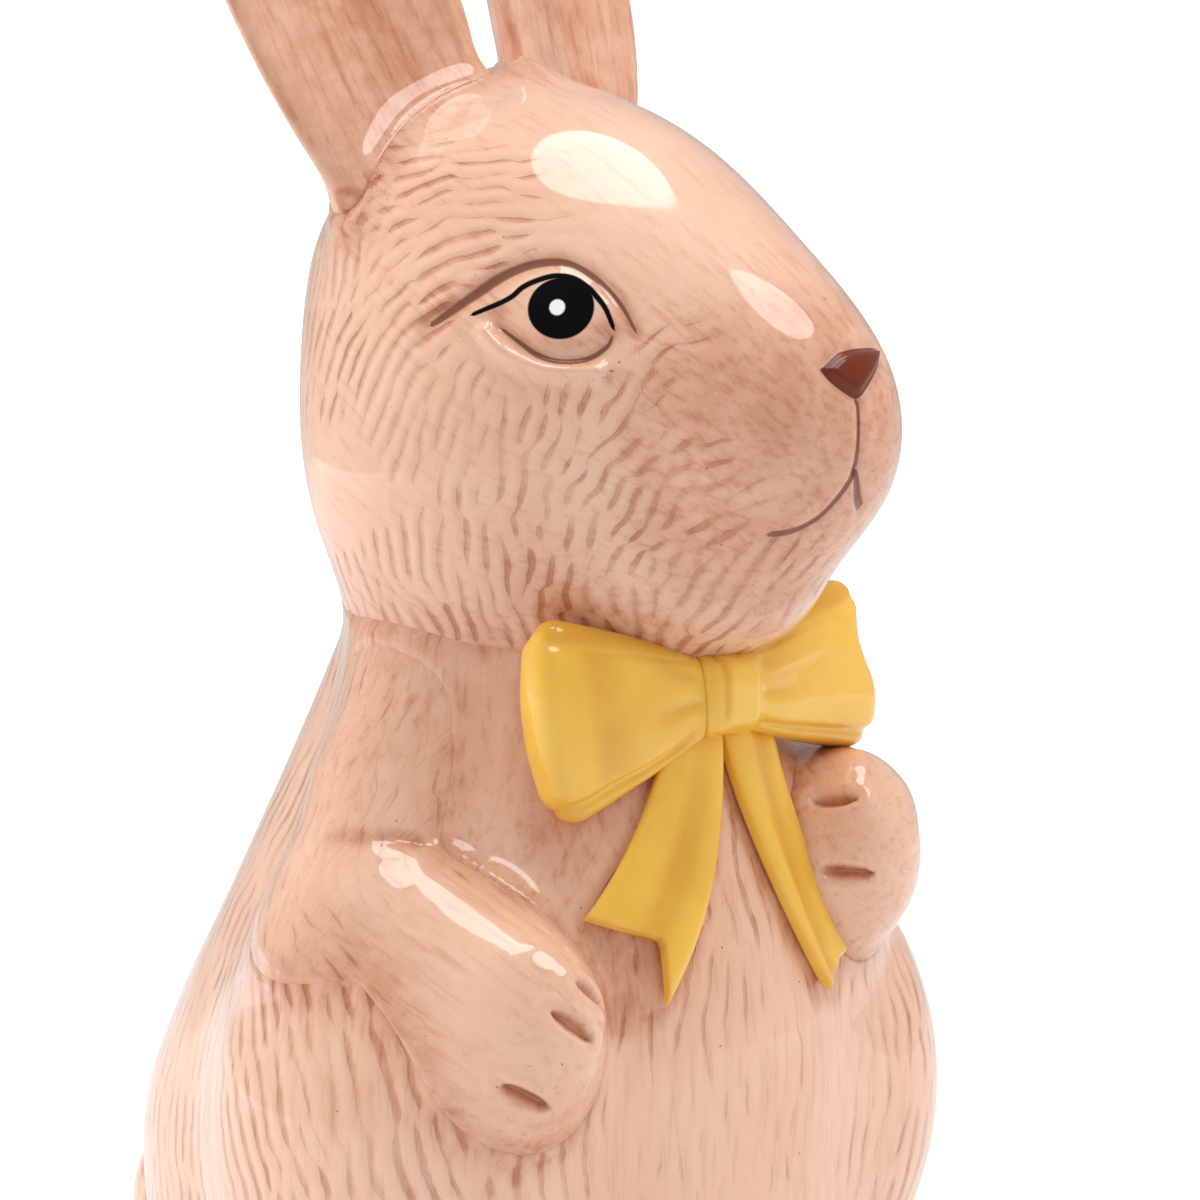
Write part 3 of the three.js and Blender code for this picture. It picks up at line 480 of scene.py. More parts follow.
class Loop:
    """A loop of the bow: start beside the knot, length, and the axes along, up and through it."""

    def __init__(self, loop):
        self.loop = loop
        end = np.array(loop["end"], float)
        self.start = KNOT_MIDDLE + np.array([math.copysign(LOOP_ROOT, end[0]), 0, 0])
        way = KNOT_MIDDLE + end - self.start
        self.length = np.linalg.norm(way)
        self.along = way / self.length
        rise = unit(flatten(np.array([0, 0, 1.0]), self.along))
        tilt = math.radians(loop["tilt"])
        self.rise = rise * math.cos(tilt) + np.cross(self.along, rise) * math.sin(tilt)
        self.through = np.cross(self.rise, self.along)

    def enter(self, p):
        """Share along the loop, height over its middle line and way through it."""
        q = p - self.start
        return q @ self.along / self.length, q @ self.rise, q @ self.through

    def half(self, share):
        """Half the height of the loop, growing with the power 0.9 of the share along it."""
        root, end = self.loop["root_half"], self.loop["end_half"]
        return root + (end - root) * np.clip(share, 0, 1) ** 0.9

    def field(self, p):
        """A pillow that widens from the knot to a blunt outer end, drawn in by a bell over its height."""
        share, up, through = self.enter(p)
        t, half = np.clip(share, 0, 1), self.half(share)
        thickness = LOOP_ROOT_THICKNESS + (self.loop["thickness"] - LOOP_ROOT_THICKNESS) * t
        drawn_in = self.loop["dip"] * bell(up / half - DIP["above"], DIP["spread"])
        a, b, c = np.abs(up / half), np.abs(through / thickness), np.abs(2 * share / (1 - t * drawn_in) - 1)
        return ((a**3 + b**2.4 + c**8) ** (1 / 3) - 1) * LOOP_ROOT_THICKNESS


# Skins
COARSE_GRID = (61, 73)
SETTLINGS = 3
LEAST_WEIGHT = 1e-30

# How many rings and columns each skin has, and how much closer its columns lie on the camera's side
GRIDS = {
    "torso": (232, 400, 0.35),
    "head": (272, 340, 0.35),
    "ear": (220, 200),
    "arm": (240, 200, 0.2),
    "foot": (120, 160),
    "tail": (120, 160),
    "knot": (100, 120),
    "loop": (170, 220),
    "ribbon": (150, 96),
}


def reach_on(field, start, direction, distance=0.0):
    """How far each ray runs inside a field, by halving the way between its start and a far point."""
    inner = np.zeros(np.broadcast(start[..., 0], direction[..., 0]).shape)
    outer = np.full(inner.shape, float(RAY_REACH))
    for _ in range(HALVINGS):
        middle = (inner + outer) / 2
        inside = field(start + direction * middle[..., None]) < distance
        inner, outer = np.where(inside, middle, inner), np.where(inside, outer, middle)
    return inner


def rays(path, shares, turns):
    """Starts and directions of a fan of rays along a spine. The first and last rows swing into poles."""
    points = np.array(path["points"], float)
    lengths = np.concatenate([[0], np.cumsum(np.linalg.norm(np.diff(points, axis=0), axis=1))])
    first, last = path["poles"]
    along = np.clip((shares - first) / (1 - first - last), 0, 1)
    swing = np.minimum(shares / max(first, TINY) - 1, 0) + np.maximum(1 - (1 - shares) / last, 0)
    start = np.stack([np.interp(along * lengths[-1], lengths, points[:, k]) for k in range(3)], -1)
    forward = np.array(path["forward"], float)
    ahead = unit(forward[0] + (forward[-1] - forward[0]) * along[:, None])
    side = unit(flatten(np.array(path["outside"], float), ahead))
    up = np.cross(ahead, side)
    cos, sin = np.cos(turns)[None, :, None], np.sin(turns)[None, :, None]
    flat = side[:, None] * cos + up[:, None] * sin
    lift = (swing * math.pi / 2)[:, None, None]
    return start[:, None], flat * np.cos(lift) + ahead[:, None] * np.sin(lift)


def skin(field, path, rows, columns, nearness=0.0):
    """Grid of points where the rays leave the field, spaced evenly over the surface.
    The spacing is measured on a coarse grid, and nearness draws columns to the side that faces the camera."""
    shares, turns = np.linspace(0, 1, COARSE_GRID[0]), np.linspace(0, 2 * math.pi, COARSE_GRID[1])
    start, direction = rays(path, shares, turns)
    coarse = start + direction * reach_on(field, start, direction)[..., None]
    down = np.linalg.norm(np.diff(coarse, axis=0), axis=-1).mean(1)
    facing = unit(coarse[:, 1:] - start) @ TO_CAMERA
    across = (np.linalg.norm(np.diff(coarse, axis=1), axis=-1) * (1 + nearness * facing)).mean(0)
    down, across = (np.concatenate([[0], np.cumsum(w)]) for w in (down, across))
    shares = np.interp(np.linspace(0, down[-1], rows + 1), down, shares)
    turns = np.interp(np.linspace(0, across[-1], columns + 1)[:-1], across, turns)
    start, direction = rays(path, shares, turns)
    return start + direction * reach_on(field, start, direction)[..., None]


def square_to(grid):
    """Unit normals of a grid of rings: the way round crossed with the way along."""
    around = np.roll(grid, -1, axis=1) - np.roll(grid, 1, axis=1)
    along = np.gradient(grid, axis=0)
    normals = unit(np.cross(around, along))
    normals[0], normals[-1] = unit(normals[1].mean(0)), unit(normals[-2].mean(0))
    return normals


def settle(grid, field, width):
    """A fillet against a neighbour: the skin swells by a quarter of the width times its squared closeness."""
    normals = square_to(grid)
    swell = np.zeros(grid.shape[:2])
    for _ in range(SETTLINGS):
        gap = field(grid + normals * swell[..., None])
        swell = width / 4 * np.maximum(1 - np.abs(swell - gap) / width, 0) ** 2
    return grid + normals * swell[..., None]


def near(grid, field, width, fillet=0.0):
    """Darkening beside a neighbour, for stain and for painted shade: e to the minus squared distance over the
    width, from where a fillet joins.
    """
    return np.exp(-((np.maximum(field(grid) - fillet / 4, 0) / width) ** 2))


def slope_of(field, p, step=0.1):
    """Direction square to a field, from its differences over a short way along each axis."""
    return unit(np.stack([field(p + way) - field(p - way) for way in np.eye(3) * step], -1))


def axes_on(normal):
    """Across a surface, towards the left of its normal as seen from outside, and up it."""
    across = unit(np.cross(np.array([0, 0, 1.0]), normal))
    return across, np.cross(normal, across)


class Fur:
    """Stroke directions over a skin, blended from guides by e to the minus squared distance over the spread.
    A stroke has no front, so the blend is of each way's products with itself, whose longest axis is kept."""

    def __init__(self, at, ways, thickness, spread):
        self.at, self.thickness, self.spread = at, thickness, spread
        self.lines = np.einsum("ai,aj->aij", ways, ways)

    def shares(self, p):
        """How much each guide counts at each point."""
        gap = p[:, None] - self.at
        weights = np.exp(-dot(gap, gap) / (2 * self.spread**2)) + LEAST_WEIGHT
        return weights / weights.sum(1, keepdims=True)

    def density(self, p):
        """How thickly the strokes lie at each point."""
        return self.shares(p) @ self.thickness

    def heading(self, p, like):
        """The way of the strokes at each point, on the same side as another way."""
        blend = np.einsum("na,aij->nij", self.shares(p), self.lines)
        way = np.linalg.eigh(blend)[1][..., -1]
        return way * np.where(dot(way, like) < 0, -1, 1)[:, None]


def guided(field, table, start_of, direction_of, spread):
    """Fur from a table of guide rows and their mirror images, each placed where its ray leaves the field."""
    rows = np.array([*table, *[(-r, up, -way, thick) for r, up, way, thick in table]], float)
    start, direction = start_of(rows), unit(direction_of(rows))
    at = start + direction * reach_on(field, start, direction)[:, None]
    across, rise = axes_on(slope_of(field, at))
    way = np.radians(rows[:, 2:3])
    return Fur(at, across * np.sin(way) + rise * np.cos(way), rows[:, 3], spread)


def head_fur():
    """Fur of the head, with its guides where rays from the middle of the head leave it."""

    def direction(rows):
        turn, up = np.radians(rows[:, 0]), np.radians(rows[:, 1])
        return np.stack([np.sin(turn), -np.cos(turn), np.tan(up)], -1) @ HEAD.axes.T

    return guided(head_field, HEAD_FUR, lambda rows: np.tile(HEAD.at, (len(rows), 1)), direction, 6)


def torso_fur():
    """Fur of the torso, with its guides where level rays from the axis leave it."""

    def start(rows):
        return np.stack([0 * rows[:, 1], 0 * rows[:, 1], rows[:, 1]], -1)

    def direction(rows):
        turn = np.radians(rows[:, 0])
        return np.stack([np.sin(turn), -np.cos(turn), 0 * turn], -1)

    return guided(torso_field, TORSO_FUR, start, direction, 10)


def limb_fur(points, thickness, spread=9):
    """Fur that runs along a chain of points."""
    points = np.array(points, float)
    at = np.concatenate([points[:-1] + (points[1:] - points[:-1]) * share for share in (0.1, 0.5, 0.9)])
    ways = np.tile(unit(points[1:] - points[:-1]), (3, 1))
    return Fur(at, ways, np.full(len(at), float(thickness)), spread)


# How the wavelets of the fur overlap, vary and fade
COMB = {
    "overlap": 3,
    "stray": 0.2,
    "pitches": (0.85, 1.15),
    "reach": 1.8,
    "most_steps": 24,
    "side": 1.3,
    "full": 1.7,
}


def downwards(at):
    """The way that the fur lies, all but straight down, at each point."""
    return np.tile([0.01, 0.02, -1.0], (len(at), 1))


def comb(grid, fur, seed, gap, length, like=downwards, mask=1.0):
    """Waves across the fur over a grid: the cosine and sine of their phase, and their strength from 0 to 1.
    They are the sum of wavelets round random points. Each is e to the power of i times its pitch times the
    way across the fur, times e to the minus squared share of an oval that is long along the fur."""
    rng = np.random.default_rng(seed)
    rows, columns = grid.shape[:2]
    down = np.linalg.norm(np.gradient(grid, axis=0), axis=-1)
    over = np.linalg.norm(np.roll(grid, -1, axis=1) - grid, axis=-1)
    area = down * over
    area[:2], area[-2:] = 0, 0
    count = int(COMB["overlap"] * area.sum() / (gap * length))
    row, column = np.divmod(rng.choice(area.size, count, p=(area / area.sum()).ravel()), columns)
    at, square = grid[row, column], square_to(grid)[row, column]
    ways = fur.heading(at, like(at))
    ways = unit(ways + rng.normal(0, COMB["stray"], (count, 1)) * np.cross(square, ways))
    aside = np.cross(ways, square)
    pitch = 2 * math.pi / gap * rng.uniform(*COMB["pitches"], count)
    phase = rng.uniform(0, 2 * math.pi, count)
    wave = np.zeros((rows, columns), complex)
    steps = [int(COMB["reach"] * length / np.median(step)) + 1 for step in (down, over)]
    rows_out, columns_out = np.minimum(steps, COMB["most_steps"])
    for rows_away in range(-rows_out, rows_out + 1):
        near_row = np.clip(row + rows_away, 0, rows - 1)
        for columns_away in range(-columns_out, columns_out + 1):
            near_column = (column + columns_away) % columns
            offset = grid[near_row, near_column] - at
            ahead, across = dot(offset, ways), dot(offset, aside)
            rest = dot(offset, offset) - ahead**2
            size = np.exp(-((ahead / length) ** 2) - rest / (COMB["side"] * gap) ** 2)
            np.add.at(wave, (near_row, near_column), size * np.exp(1j * (pitch * across + phase)))
    size = np.abs(wave)
    thickness = fur.density(grid.reshape(-1, 3)).reshape(rows, columns)
    strength = np.clip(size / (COMB["full"] * size.mean()), 0, 1) * ease(0.0, 0.7, thickness) * mask
    return np.stack([wave.real / (size + TINY), wave.imag / (size + TINY), strength], -1)


# Lines drawn on a face
def smooth_line(points):
    """A cubic curve through the points, which leaves each along the way between its neighbours."""
    p = np.array(points, float)
    p = np.concatenate([2 * p[:1] - p[1:2], p, 2 * p[-1:] - p[-2:-1]])
    place = np.linspace(0, len(points) - 1 - 1e-9, LINE_POINTS)
    i, t = np.floor(place).astype(int), (place % 1)[:, None]
    a, b, c, d = p[i], p[i + 1], p[i + 2], p[i + 3]
    return b + t / 2 * (c - a) + t**2 / 2 * (2 * a - 5 * b + 4 * c - d) + t**3 / 2 * (3 * b - a - 3 * c + d)


def beside(uv, line):
    """Distance to the nearest place on a chain of segments, below zero on its right, and how far along."""
    a, way = line[:-1], np.diff(line, axis=0)
    gap = uv[:, None] - a
    share = np.clip(dot(gap, way) / (dot(way, way) + TINY), 0, 1)
    rest = gap - share[..., None] * way
    away = np.linalg.norm(rest, axis=-1)
    best, own = away.argmin(1), np.arange(len(uv))
    side = way[best, 0] * rest[own, best, 1] - way[best, 1] * rest[own, best, 0]
    return away[own, best] * np.where(side < 0, -1, 1), (best + share[own, best]) / len(way)


def from_line(uv, line):
    """Distance from each point to the nearest place on a chain of segments."""
    return np.abs(beside(uv, line)[0])


def from_outline(uv, outline):
    """Distance to a closed outline, below zero inside, where a ray to the right crosses it an odd number
    of times."""
    ring = np.concatenate([outline, outline[:1]])
    a, b = ring[:-1], ring[1:]
    u, v = uv[:, :1], uv[:, 1:]
    crosses = (a[:, 1] > v) != (b[:, 1] > v)
    at = a[:, 0] + (v - a[:, 1]) * (b[:, 0] - a[:, 0]) / (b[:, 1] - a[:, 1] + TINY)
    inside = (crosses & (u < at)).sum(1) % 2 == 1
    return from_line(uv, ring) * np.where(inside, -1, 1)


def bell(distance, width):
    """e to the power of minus the squared distance over the width."""
    return np.exp(-((distance / width) ** 2))


def cover(distance):
    """Paint over an edge two millimetres wide, with its line at a half."""
    return np.clip(0.5 - distance / 2, 0, 1)


ALONG_NORMAL = 0.4


def from_chain(grid, normals, points):
    """Distance over a skin to a chain of segments near it. The way along the normals counts as two fifths."""
    line, shape = np.array(points, float), grid.shape[:2]
    grid, normals = grid.reshape(-1, 1, 3), normals.reshape(-1, 1, 3)
    way = np.diff(line, axis=0)
    gap = grid - line[:-1]
    rest = gap - np.clip(dot(gap, way) / dot(way, way), 0, 1)[..., None] * way
    squared = dot(rest, rest) - (1 - ALONG_NORMAL**2) * dot(rest, normals) ** 2
    return np.sqrt(squared).min(1).reshape(shape)


# What a map of a line says where the line is out of reach, how far the eye and the mouth reach round their
# seats, and how square to a seat the skin has to stand
FAR_BESIDE = 9.0
EYE_REACH = 26
MOUTH_REACH = 24
LEAST_FACING = 0.1


class Canvas:
    """Relief along the normals, stain and painted shade, and paint over one grid, all gathered from parts of
    it.
    """

    def __init__(self, grid):
        self.grid, self.normals = grid, square_to(grid)
        names = ("relief", "stain_and_shade", "dark", "white", "brown")
        self.maps = {name: np.zeros(grid.shape[:2]) for name in names}

    def __getitem__(self, name):
        return self.maps[name]

    def raise_(self, relief):
        """Relief in millimetres, added to what is there."""
        self.maps["relief"] += relief

    def stain(self, amount):
        """Stain, and painted shade where a caller paints it, one at full strength, where it is more than what
        is there.
        """
        self.maps["stain_and_shade"] = np.maximum(self.maps["stain_and_shade"], amount)

    def on(self, seat, reach):
        """Where the grid lies within reach of a seat and faces its way, with its places there."""
        q = seat.enter(self.grid)
        facing = self.normals @ seat.axes[:, 2] > LEAST_FACING
        mask = facing & (np.abs(q).max(-1) < reach)
        return mask, q[mask][:, :2]

    def put(self, name, mask, amount):
        """Paint from zero to one in a part of the grid, where it is more than what is there."""
        self.maps[name][mask] = np.maximum(self.maps[name][mask], amount)

    def draw(self, name, mask, uv, points, halves):
        """A map of a line: how far each point lies beside it and half its width there, with pointed ends."""
        away, along = beside(uv, smooth_line(points))
        half = np.interp(along, np.linspace(0, 1, len(halves)), halves)
        half *= ease(0, 0.02, along) * ease(1, 0.98, along)
        if name not in self.maps:
            self.maps[name] = np.tile([FAR_BESIDE, 0.0, 0.0], (*self.grid.shape[:2], 1))
        self.maps[name][mask] = np.stack([away, half, 0 * half], -1)

    def finished(self):
        """The grid with its relief raised."""
        return self.grid + self.normals * self.maps["relief"][..., None]


def seat_on_head(round_, above):
    """A frame on the skin of the head, with its axes across, up and out."""
    turn = math.radians(round_)
    way = np.array([math.sin(turn), -math.cos(turn), math.tan(math.radians(above))])
    way = unit(HEAD.axes @ way)
    at = HEAD.at + way * float(reach_on(head_field, HEAD.at, way))
    normal = slope_of(head_field, at[None])[0]
    across, rise = axes_on(normal)
    return Frame(at, np.stack([across, rise, normal], 1))


def eye_seat(side):
    """The middle of an eye on the head."""
    return seat_on_head(side * EYE["round"], EYE["above"])


def draw_eye(canvas, side):
    """Eyeball, lids and creases as bells round their lines, and the painted pupil, glint and lid line."""
    mask, uv = canvas.on(eye_seat(side), EYE_REACH)
    uv = uv * np.array([-side, 1])
    ball = 1 - (((uv - EYEBALL["at"]) / EYEBALL["radii"]) ** 2).sum(1)
    lines = (UPPER_CREASE, LOWER_CREASE, LID_LINE, LOWER_LID)
    upper, lower, lid, ridge = (from_line(uv, smooth_line(points)) for points in lines)
    outer = ease(2, -12, uv[:, 0])
    relief = ease(0, 1, ball) ** 0.7 - (0.5 + 0.3 * outer) * bell(upper, 1.0)
    relief += 0.35 * bell(lid, 1.1) + 1.7 * bell(ridge, 1.25) - 0.7 * bell(lower, 0.8)
    canvas["relief"][mask] += relief
    canvas.draw("upper_crease", mask, uv, UPPER_CREASE, UPPER_CREASE_HALVES)
    canvas.draw("lower_crease", mask, uv, LOWER_CREASE, LOWER_CREASE_HALVES)
    canvas.draw("lid_line", mask, uv, LID_LINE, LID_LINE_HALVES)
    canvas.put("stain_and_shade", mask, 0.7 * bell(upper, 1.4 + 0.6 * outer))
    canvas.put("stain_and_shade", mask, 0.6 * bell(lower, 1.2))
    canvas.put("stain_and_shade", mask, 0.55 * ease(0.05, 0.3, ball) * ease(-1.5, -4.5, uv[:, 1]))
    for corner in (INNER_CORNER, OUTER_CORNER):
        away = np.hypot(*((uv - corner["at"]) / (corner["stretch"], 1)).T)
        canvas.put("stain_and_shade", mask, corner["stain"] * bell(away, corner["width"]))
    pupil = (np.hypot(*((uv - PUPIL["at"]) / PUPIL["radii"]).T) - 1) * PUPIL["radii"][1]
    canvas.put("dark", mask, cover(pupil))
    for name, spot in (("white", GLINT), ("brown", PINHOLE)):
        canvas.put(name, mask, cover(np.hypot(*(uv - spot["at"]).T) - spot["radius"]))


def draw_mouth(canvas):
    """Nose pad, the line under it and the smile, pressed in and painted brown."""
    mask, uv = canvas.on(seat_on_head(0, NOSE_ABOVE), MOUTH_REACH)
    nose = from_outline(uv, smooth_line((*NOSE, NOSE[0])))
    line, smile, far_smile = (from_line(uv, smooth_line(points)) for points in (PHILTRUM, SMILE, FAR_SMILE))
    relief = 0.8 * ease(0.2, -1.6, nose) - 0.35 * bell(nose, 0.7)
    relief -= 0.5 * bell(line, 0.6) + 0.4 * bell(np.minimum(smile, far_smile), 0.6)
    canvas["relief"][mask] += relief
    canvas.put("brown", mask, cover(nose))
    canvas.draw("philtrum", mask, uv, PHILTRUM, PHILTRUM_HALVES)
    canvas.draw("smile", mask, uv, SMILE, SMILE_HALVES)
    canvas.draw("far_smile", mask, uv, FAR_SMILE, FAR_SMILE_HALVES)
    canvas.put("stain_and_shade", mask, 0.7 * bell(np.minimum(line, smile), 1.1))
    canvas.put("stain_and_shade", mask, 0.4 * bell(nose, 1.0))


# Meshes
SHIFT = np.array([0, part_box("tail")[1].y / METRE - (SCUT_MIDDLE[1] + SCUT["radii"][1]), 0])


def grid_faces(rows, columns, capped):
    """Quads between the rings of a grid, and triangles to a pole before the first ring and after the last."""
    ring, step = np.meshgrid(np.arange(rows - 1), np.arange(columns), indexing="ij")
    after = (step + 1) % columns
    here, below = ring * columns, (ring + 1) * columns
    quads = np.stack([here + step, here + after, below + after, below + step], -1).reshape(-1, 4)
    if not capped:
        return quads, np.empty((0, 3), int)
    around = np.arange(columns)
    after = (around + 1) % columns
    first, last = rows * columns, rows * columns + 1
    top = (rows - 1) * columns
    low = np.stack([np.full(columns, first), after, around], -1)
    high = np.stack([np.full(columns, last), top + around, top + after], -1)
    return quads, np.concatenate([low, high])


def make_piece(name, grid, material, nodes, maps=None, capped=True):
    """A smooth mesh of a grid in metres in the row frame, with a point attribute for each map.
    Where it is capped, the grid's first and last rings are each one point."""
    maps = maps or {}
    rings = grid[1:-1] if capped else grid
    rows, columns = rings.shape[:2]
    quads, caps = grid_faces(rows, columns, capped)

    def gathered(values, size):
        body = values[1:-1] if capped else values
        ends = [values[:1, :1], values[-1:, :1]] if capped else []
        return np.concatenate([part.reshape(-1, size) for part in (body, *ends)])

    points = (gathered(grid, 3) + SHIFT) * METRE
    points[:, 2] = np.maximum(points[:, 2], 0)
    mesh = bpy.data.meshes.new(name)
    mesh.vertices.add(len(points))
    mesh.vertices.foreach_set("co", points.astype(np.float32).ravel())
    corners = np.concatenate([quads.ravel(), caps.ravel()]).astype(np.int32)
    sizes = np.concatenate([np.full(len(quads), 4), np.full(len(caps), 3)])
    mesh.loops.add(len(corners))
    mesh.loops.foreach_set("vertex_index", corners)
    mesh.polygons.add(len(sizes))
    mesh.polygons.foreach_set("loop_start", np.concatenate([[0], np.cumsum(sizes)[:-1]]).astype(np.int32))
    mesh.polygons.foreach_set("use_smooth", np.ones(len(sizes), bool))
    mesh.update(calc_edges=True)
    for key, values in maps.items():
        kind, slot_name, size = ("FLOAT_VECTOR", "vector", 3) if values.ndim == 3 else ("FLOAT", "value", 1)
        data = mesh.attributes.new(key, kind, "POINT").data
        data.foreach_set(slot_name, gathered(values, size).astype(np.float32).ravel())
    mesh.materials.append(material)
    piece = bpy.data.objects.new(name, mesh)
    bpy.context.scene.collection.objects.link(piece)
    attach(piece, "root")
    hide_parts(*nodes)
    return piece


# Materials
def add(tree, kind, inputs=None, **settings):
    """A node with its settings, and with each named input linked to a socket or set to a value."""
    node = tree.nodes.new(kind)
    for key, value in settings.items():
        setattr(node, key, value)
    for key, value in (inputs or {}).items():
        if isinstance(value, bpy.types.NodeSocket):
            tree.links.new(value, node.inputs[key])
        else:
            node.inputs[key].default_value = value
    return node


def mixed(tree, share, a, b):
    """A colour between two."""
    node = add(tree, "ShaderNodeMix", {"Factor": share}, data_type="RGBA")
    for socket, value in ((node.inputs[6], a), (node.inputs[7], b)):
        if isinstance(value, bpy.types.NodeSocket):
            tree.links.new(value, socket)
        else:
            socket.default_value = (*value, 1)
    return node.outputs[2]


def ranged(tree, value, low, high, to=(0, 1)):
    """A value eased from one range into another."""
    inputs = {"Value": value, "From Min": low, "From Max": high, "To Min": to[0], "To Max": to[1]}
    return add(tree, "ShaderNodeMapRange", inputs, interpolation_type="SMOOTHSTEP").outputs["Result"]


def maths(tree, operation, a, b=0.0, clamp=False):
    """One sum on one or two values."""
    return add(tree, "ShaderNodeMath", {0: a, 1: b}, operation=operation, use_clamp=clamp).outputs[0]


def product(tree, *values):
    """Values multiplied together."""
    return functools.reduce(lambda a, b: maths(tree, "MULTIPLY", a, b), values)


def total(tree, *values):
    """Values added up."""
    return functools.reduce(lambda a, b: maths(tree, "ADD", a, b), values)


def noise(tree, vector, scale, detail=2.0, rough=0.5, stretch=None):
    """Noise over a vector, which may be stretched first."""
    if stretch is not None:
        vector = add(tree, "ShaderNodeMapping", {"Vector": vector, "Scale": stretch}).outputs[0]
    inputs = {"Vector": vector, "Scale": scale, "Detail": detail, "Roughness": rough}
    return add(tree, "ShaderNodeTexNoise", inputs).outputs["Fac"]


def attribute(tree, name, output="Fac"):
    """A map of the mesh, as a value or a vector."""
    return add(tree, "ShaderNodeAttribute", attribute_name=name).outputs[output]


def parts_of(tree, name):
    """The three parts of a vector map of the mesh."""
    return add(tree, "ShaderNodeSeparateXYZ", {"Vector": attribute(tree, name, "Vector")}).outputs


def drawn(tree, name):
    """Where a drawn line covers the skin, from its map of places beside it and half widths."""
    parts = parts_of(tree, name)
    outer = total(tree, product(tree, parts["Y"], 1.3), 0.0001)
    inner = product(tree, parts["Y"], 0.7)
    return ranged(tree, maths(tree, "ABSOLUTE", parts["X"]), outer, inner)


def new_material(name):
    """A material with an empty node tree, its output and its glazed shader."""
    material = bpy.data.materials.new(name)
    material.use_nodes = True
    tree = material.node_tree
    tree.nodes.clear()
    shader = add(tree, "ShaderNodeBsdfPrincipled")
    output = add(tree, "ShaderNodeOutputMaterial")
    tree.links.new(shader.outputs[0], output.inputs["Surface"])
    return material, tree, shader


BODY_IOR = 1.45
BODY_SHINE = 0.3
COAT_WEIGHT = 1.0
# Noise: its scale for each metre, its detail, and its roughness where that is not a half
CLOUD = (55, 3, 0.55)
BLOTCH = (190, 3, 0.6)
WOBBLE = (150, 2)
PATCHES = (75, 2)
AMBER_CLOUD = (110, 3)
# Noise along the fur, for each millimetre: its detail, its roughness and its scale across, through and along
STREAK = (3, 0.6, (0.9, 0.9, 0.08))
FINE_MARKS = (2, 0.7, (6, 6, 0.7))
# How far noise bends the waves in radians, what the ripple adds to the stain and takes from the height, what
# the blotches add to the height, and the depth of the relief in metres
WAVE_BEND = 3.6
RIPPLE_STAIN = 0.12
RIPPLE_HEIGHT = 0.5
BLOTCH_HEIGHT = 0.8
BUMP_DEPTH = 0.00026
PINHOLES = {"cells": 330.0, "patches": 90, "chosen": (0.6, 0.63), "edge": (0.07, 0.03), "stain": 0.75}
# Share of the shine that the brown paint takes away, where the black paint takes all of it
BROWN_MATT = 0.55
PAINTS = ("brown", "dark", "white")
PAINT_EDGE = (0.44, 0.56)


def coat(shader, settings):
    """The clear glaze over a colour."""
    shader.inputs["Roughness"].default_value = settings.under_roughness
    shader.inputs["IOR"].default_value = BODY_IOR
    shader.inputs["Specular IOR Level"].default_value = BODY_SHINE
    shader.inputs["Coat Weight"].default_value = COAT_WEIGHT
    shader.inputs["Coat Roughness"].default_value = settings.roughness
    shader.inputs["Coat IOR"].default_value = settings.ior


def wiped_stain(tree, settings):
    """Stain left along the fur where the potter wiped it off: broad streaks and fine marks."""
    grain = attribute(tree, "grain", "Vector")
    streak = noise(tree, grain, 1, *STREAK)
    fine = noise(tree, grain, 1, *FINE_MARKS)
    rub = product(tree, ranged(tree, streak, 0.45, 0.72), settings.streaks)
    return total(tree, rub, product(tree, ranged(tree, fine, 0.5, 0.8), settings.hatch))


def strokes(tree, place, uneven):
    """Ripple and grooves of the fur. Noise bends the phase of the waves, and a groove lies where its cosine
    is over an edge, which is lower where the waves are strong."""
    waves = parts_of(tree, "comb")
    wobble = product(tree, noise(tree, place, *WOBBLE), WAVE_BEND)
    wave = maths(tree, "COSINE", total(tree, maths(tree, "ARCTAN2", waves["Y"], waves["X"]), wobble))
    edge = ranged(tree, waves["Z"], 0.15, 0.95, (1.0, 0.3))
    strength = ranged(tree, waves["Z"], 0.1, 0.6)
    patchy = ranged(tree, noise(tree, place, *PATCHES), 0.35, 0.6, (0.4, 1.0))
    groove = product(tree, ranged(tree, wave, edge, 1.001), uneven, strength, patchy)
    return product(tree, wave, waves["Z"]), groove


def pinholes(tree, place):
    """Where tiny holes lie, in the middles of some cells."""
    cells = add(tree, "ShaderNodeTexVoronoi", {"Vector": place, "Scale": PINHOLES["cells"]}).outputs
    patches = noise(tree, cells["Position"], PINHOLES["patches"], 0)
    hole = ranged(tree, cells["Distance"], *PINHOLES["edge"])
    return product(tree, hole, ranged(tree, patches, *PINHOLES["chosen"]), PINHOLES["stain"])


def painted_face(tree, shader, colour, settings):
    """Creases, mouth lines, nose, pupil and glint over the glaze, with less shine on the paint."""
    for keys, paint, share in ((CREASES, settings.pooled, 0.9), (MOUTH_LINES, settings.brown, 0.85)):
        for key in keys:
            colour = mixed(tree, product(tree, drawn(tree, key), share), colour, paint)
    brown, dark, white = (ranged(tree, attribute(tree, key), *PAINT_EDGE) for key in PAINTS)
    dark = maths(tree, "MAXIMUM", dark, drawn(tree, "lid_line"))
    for edge, paint in ((brown, settings.brown), (dark, settings.black), (white, settings.white)):
        colour = mixed(tree, edge, colour, paint)
    matt = maths(tree, "MAXIMUM", dark, product(tree, brown, BROWN_MATT))
    for name, full in (("Coat Weight", COAT_WEIGHT), ("Specular IOR Level", BODY_SHINE)):
        shine = add(tree, "ShaderNodeMapRange", {"Value": matt, "To Min": full, "To Max": 0.0})
        tree.links.new(shine.outputs["Result"], shader.inputs[name])
    return colour


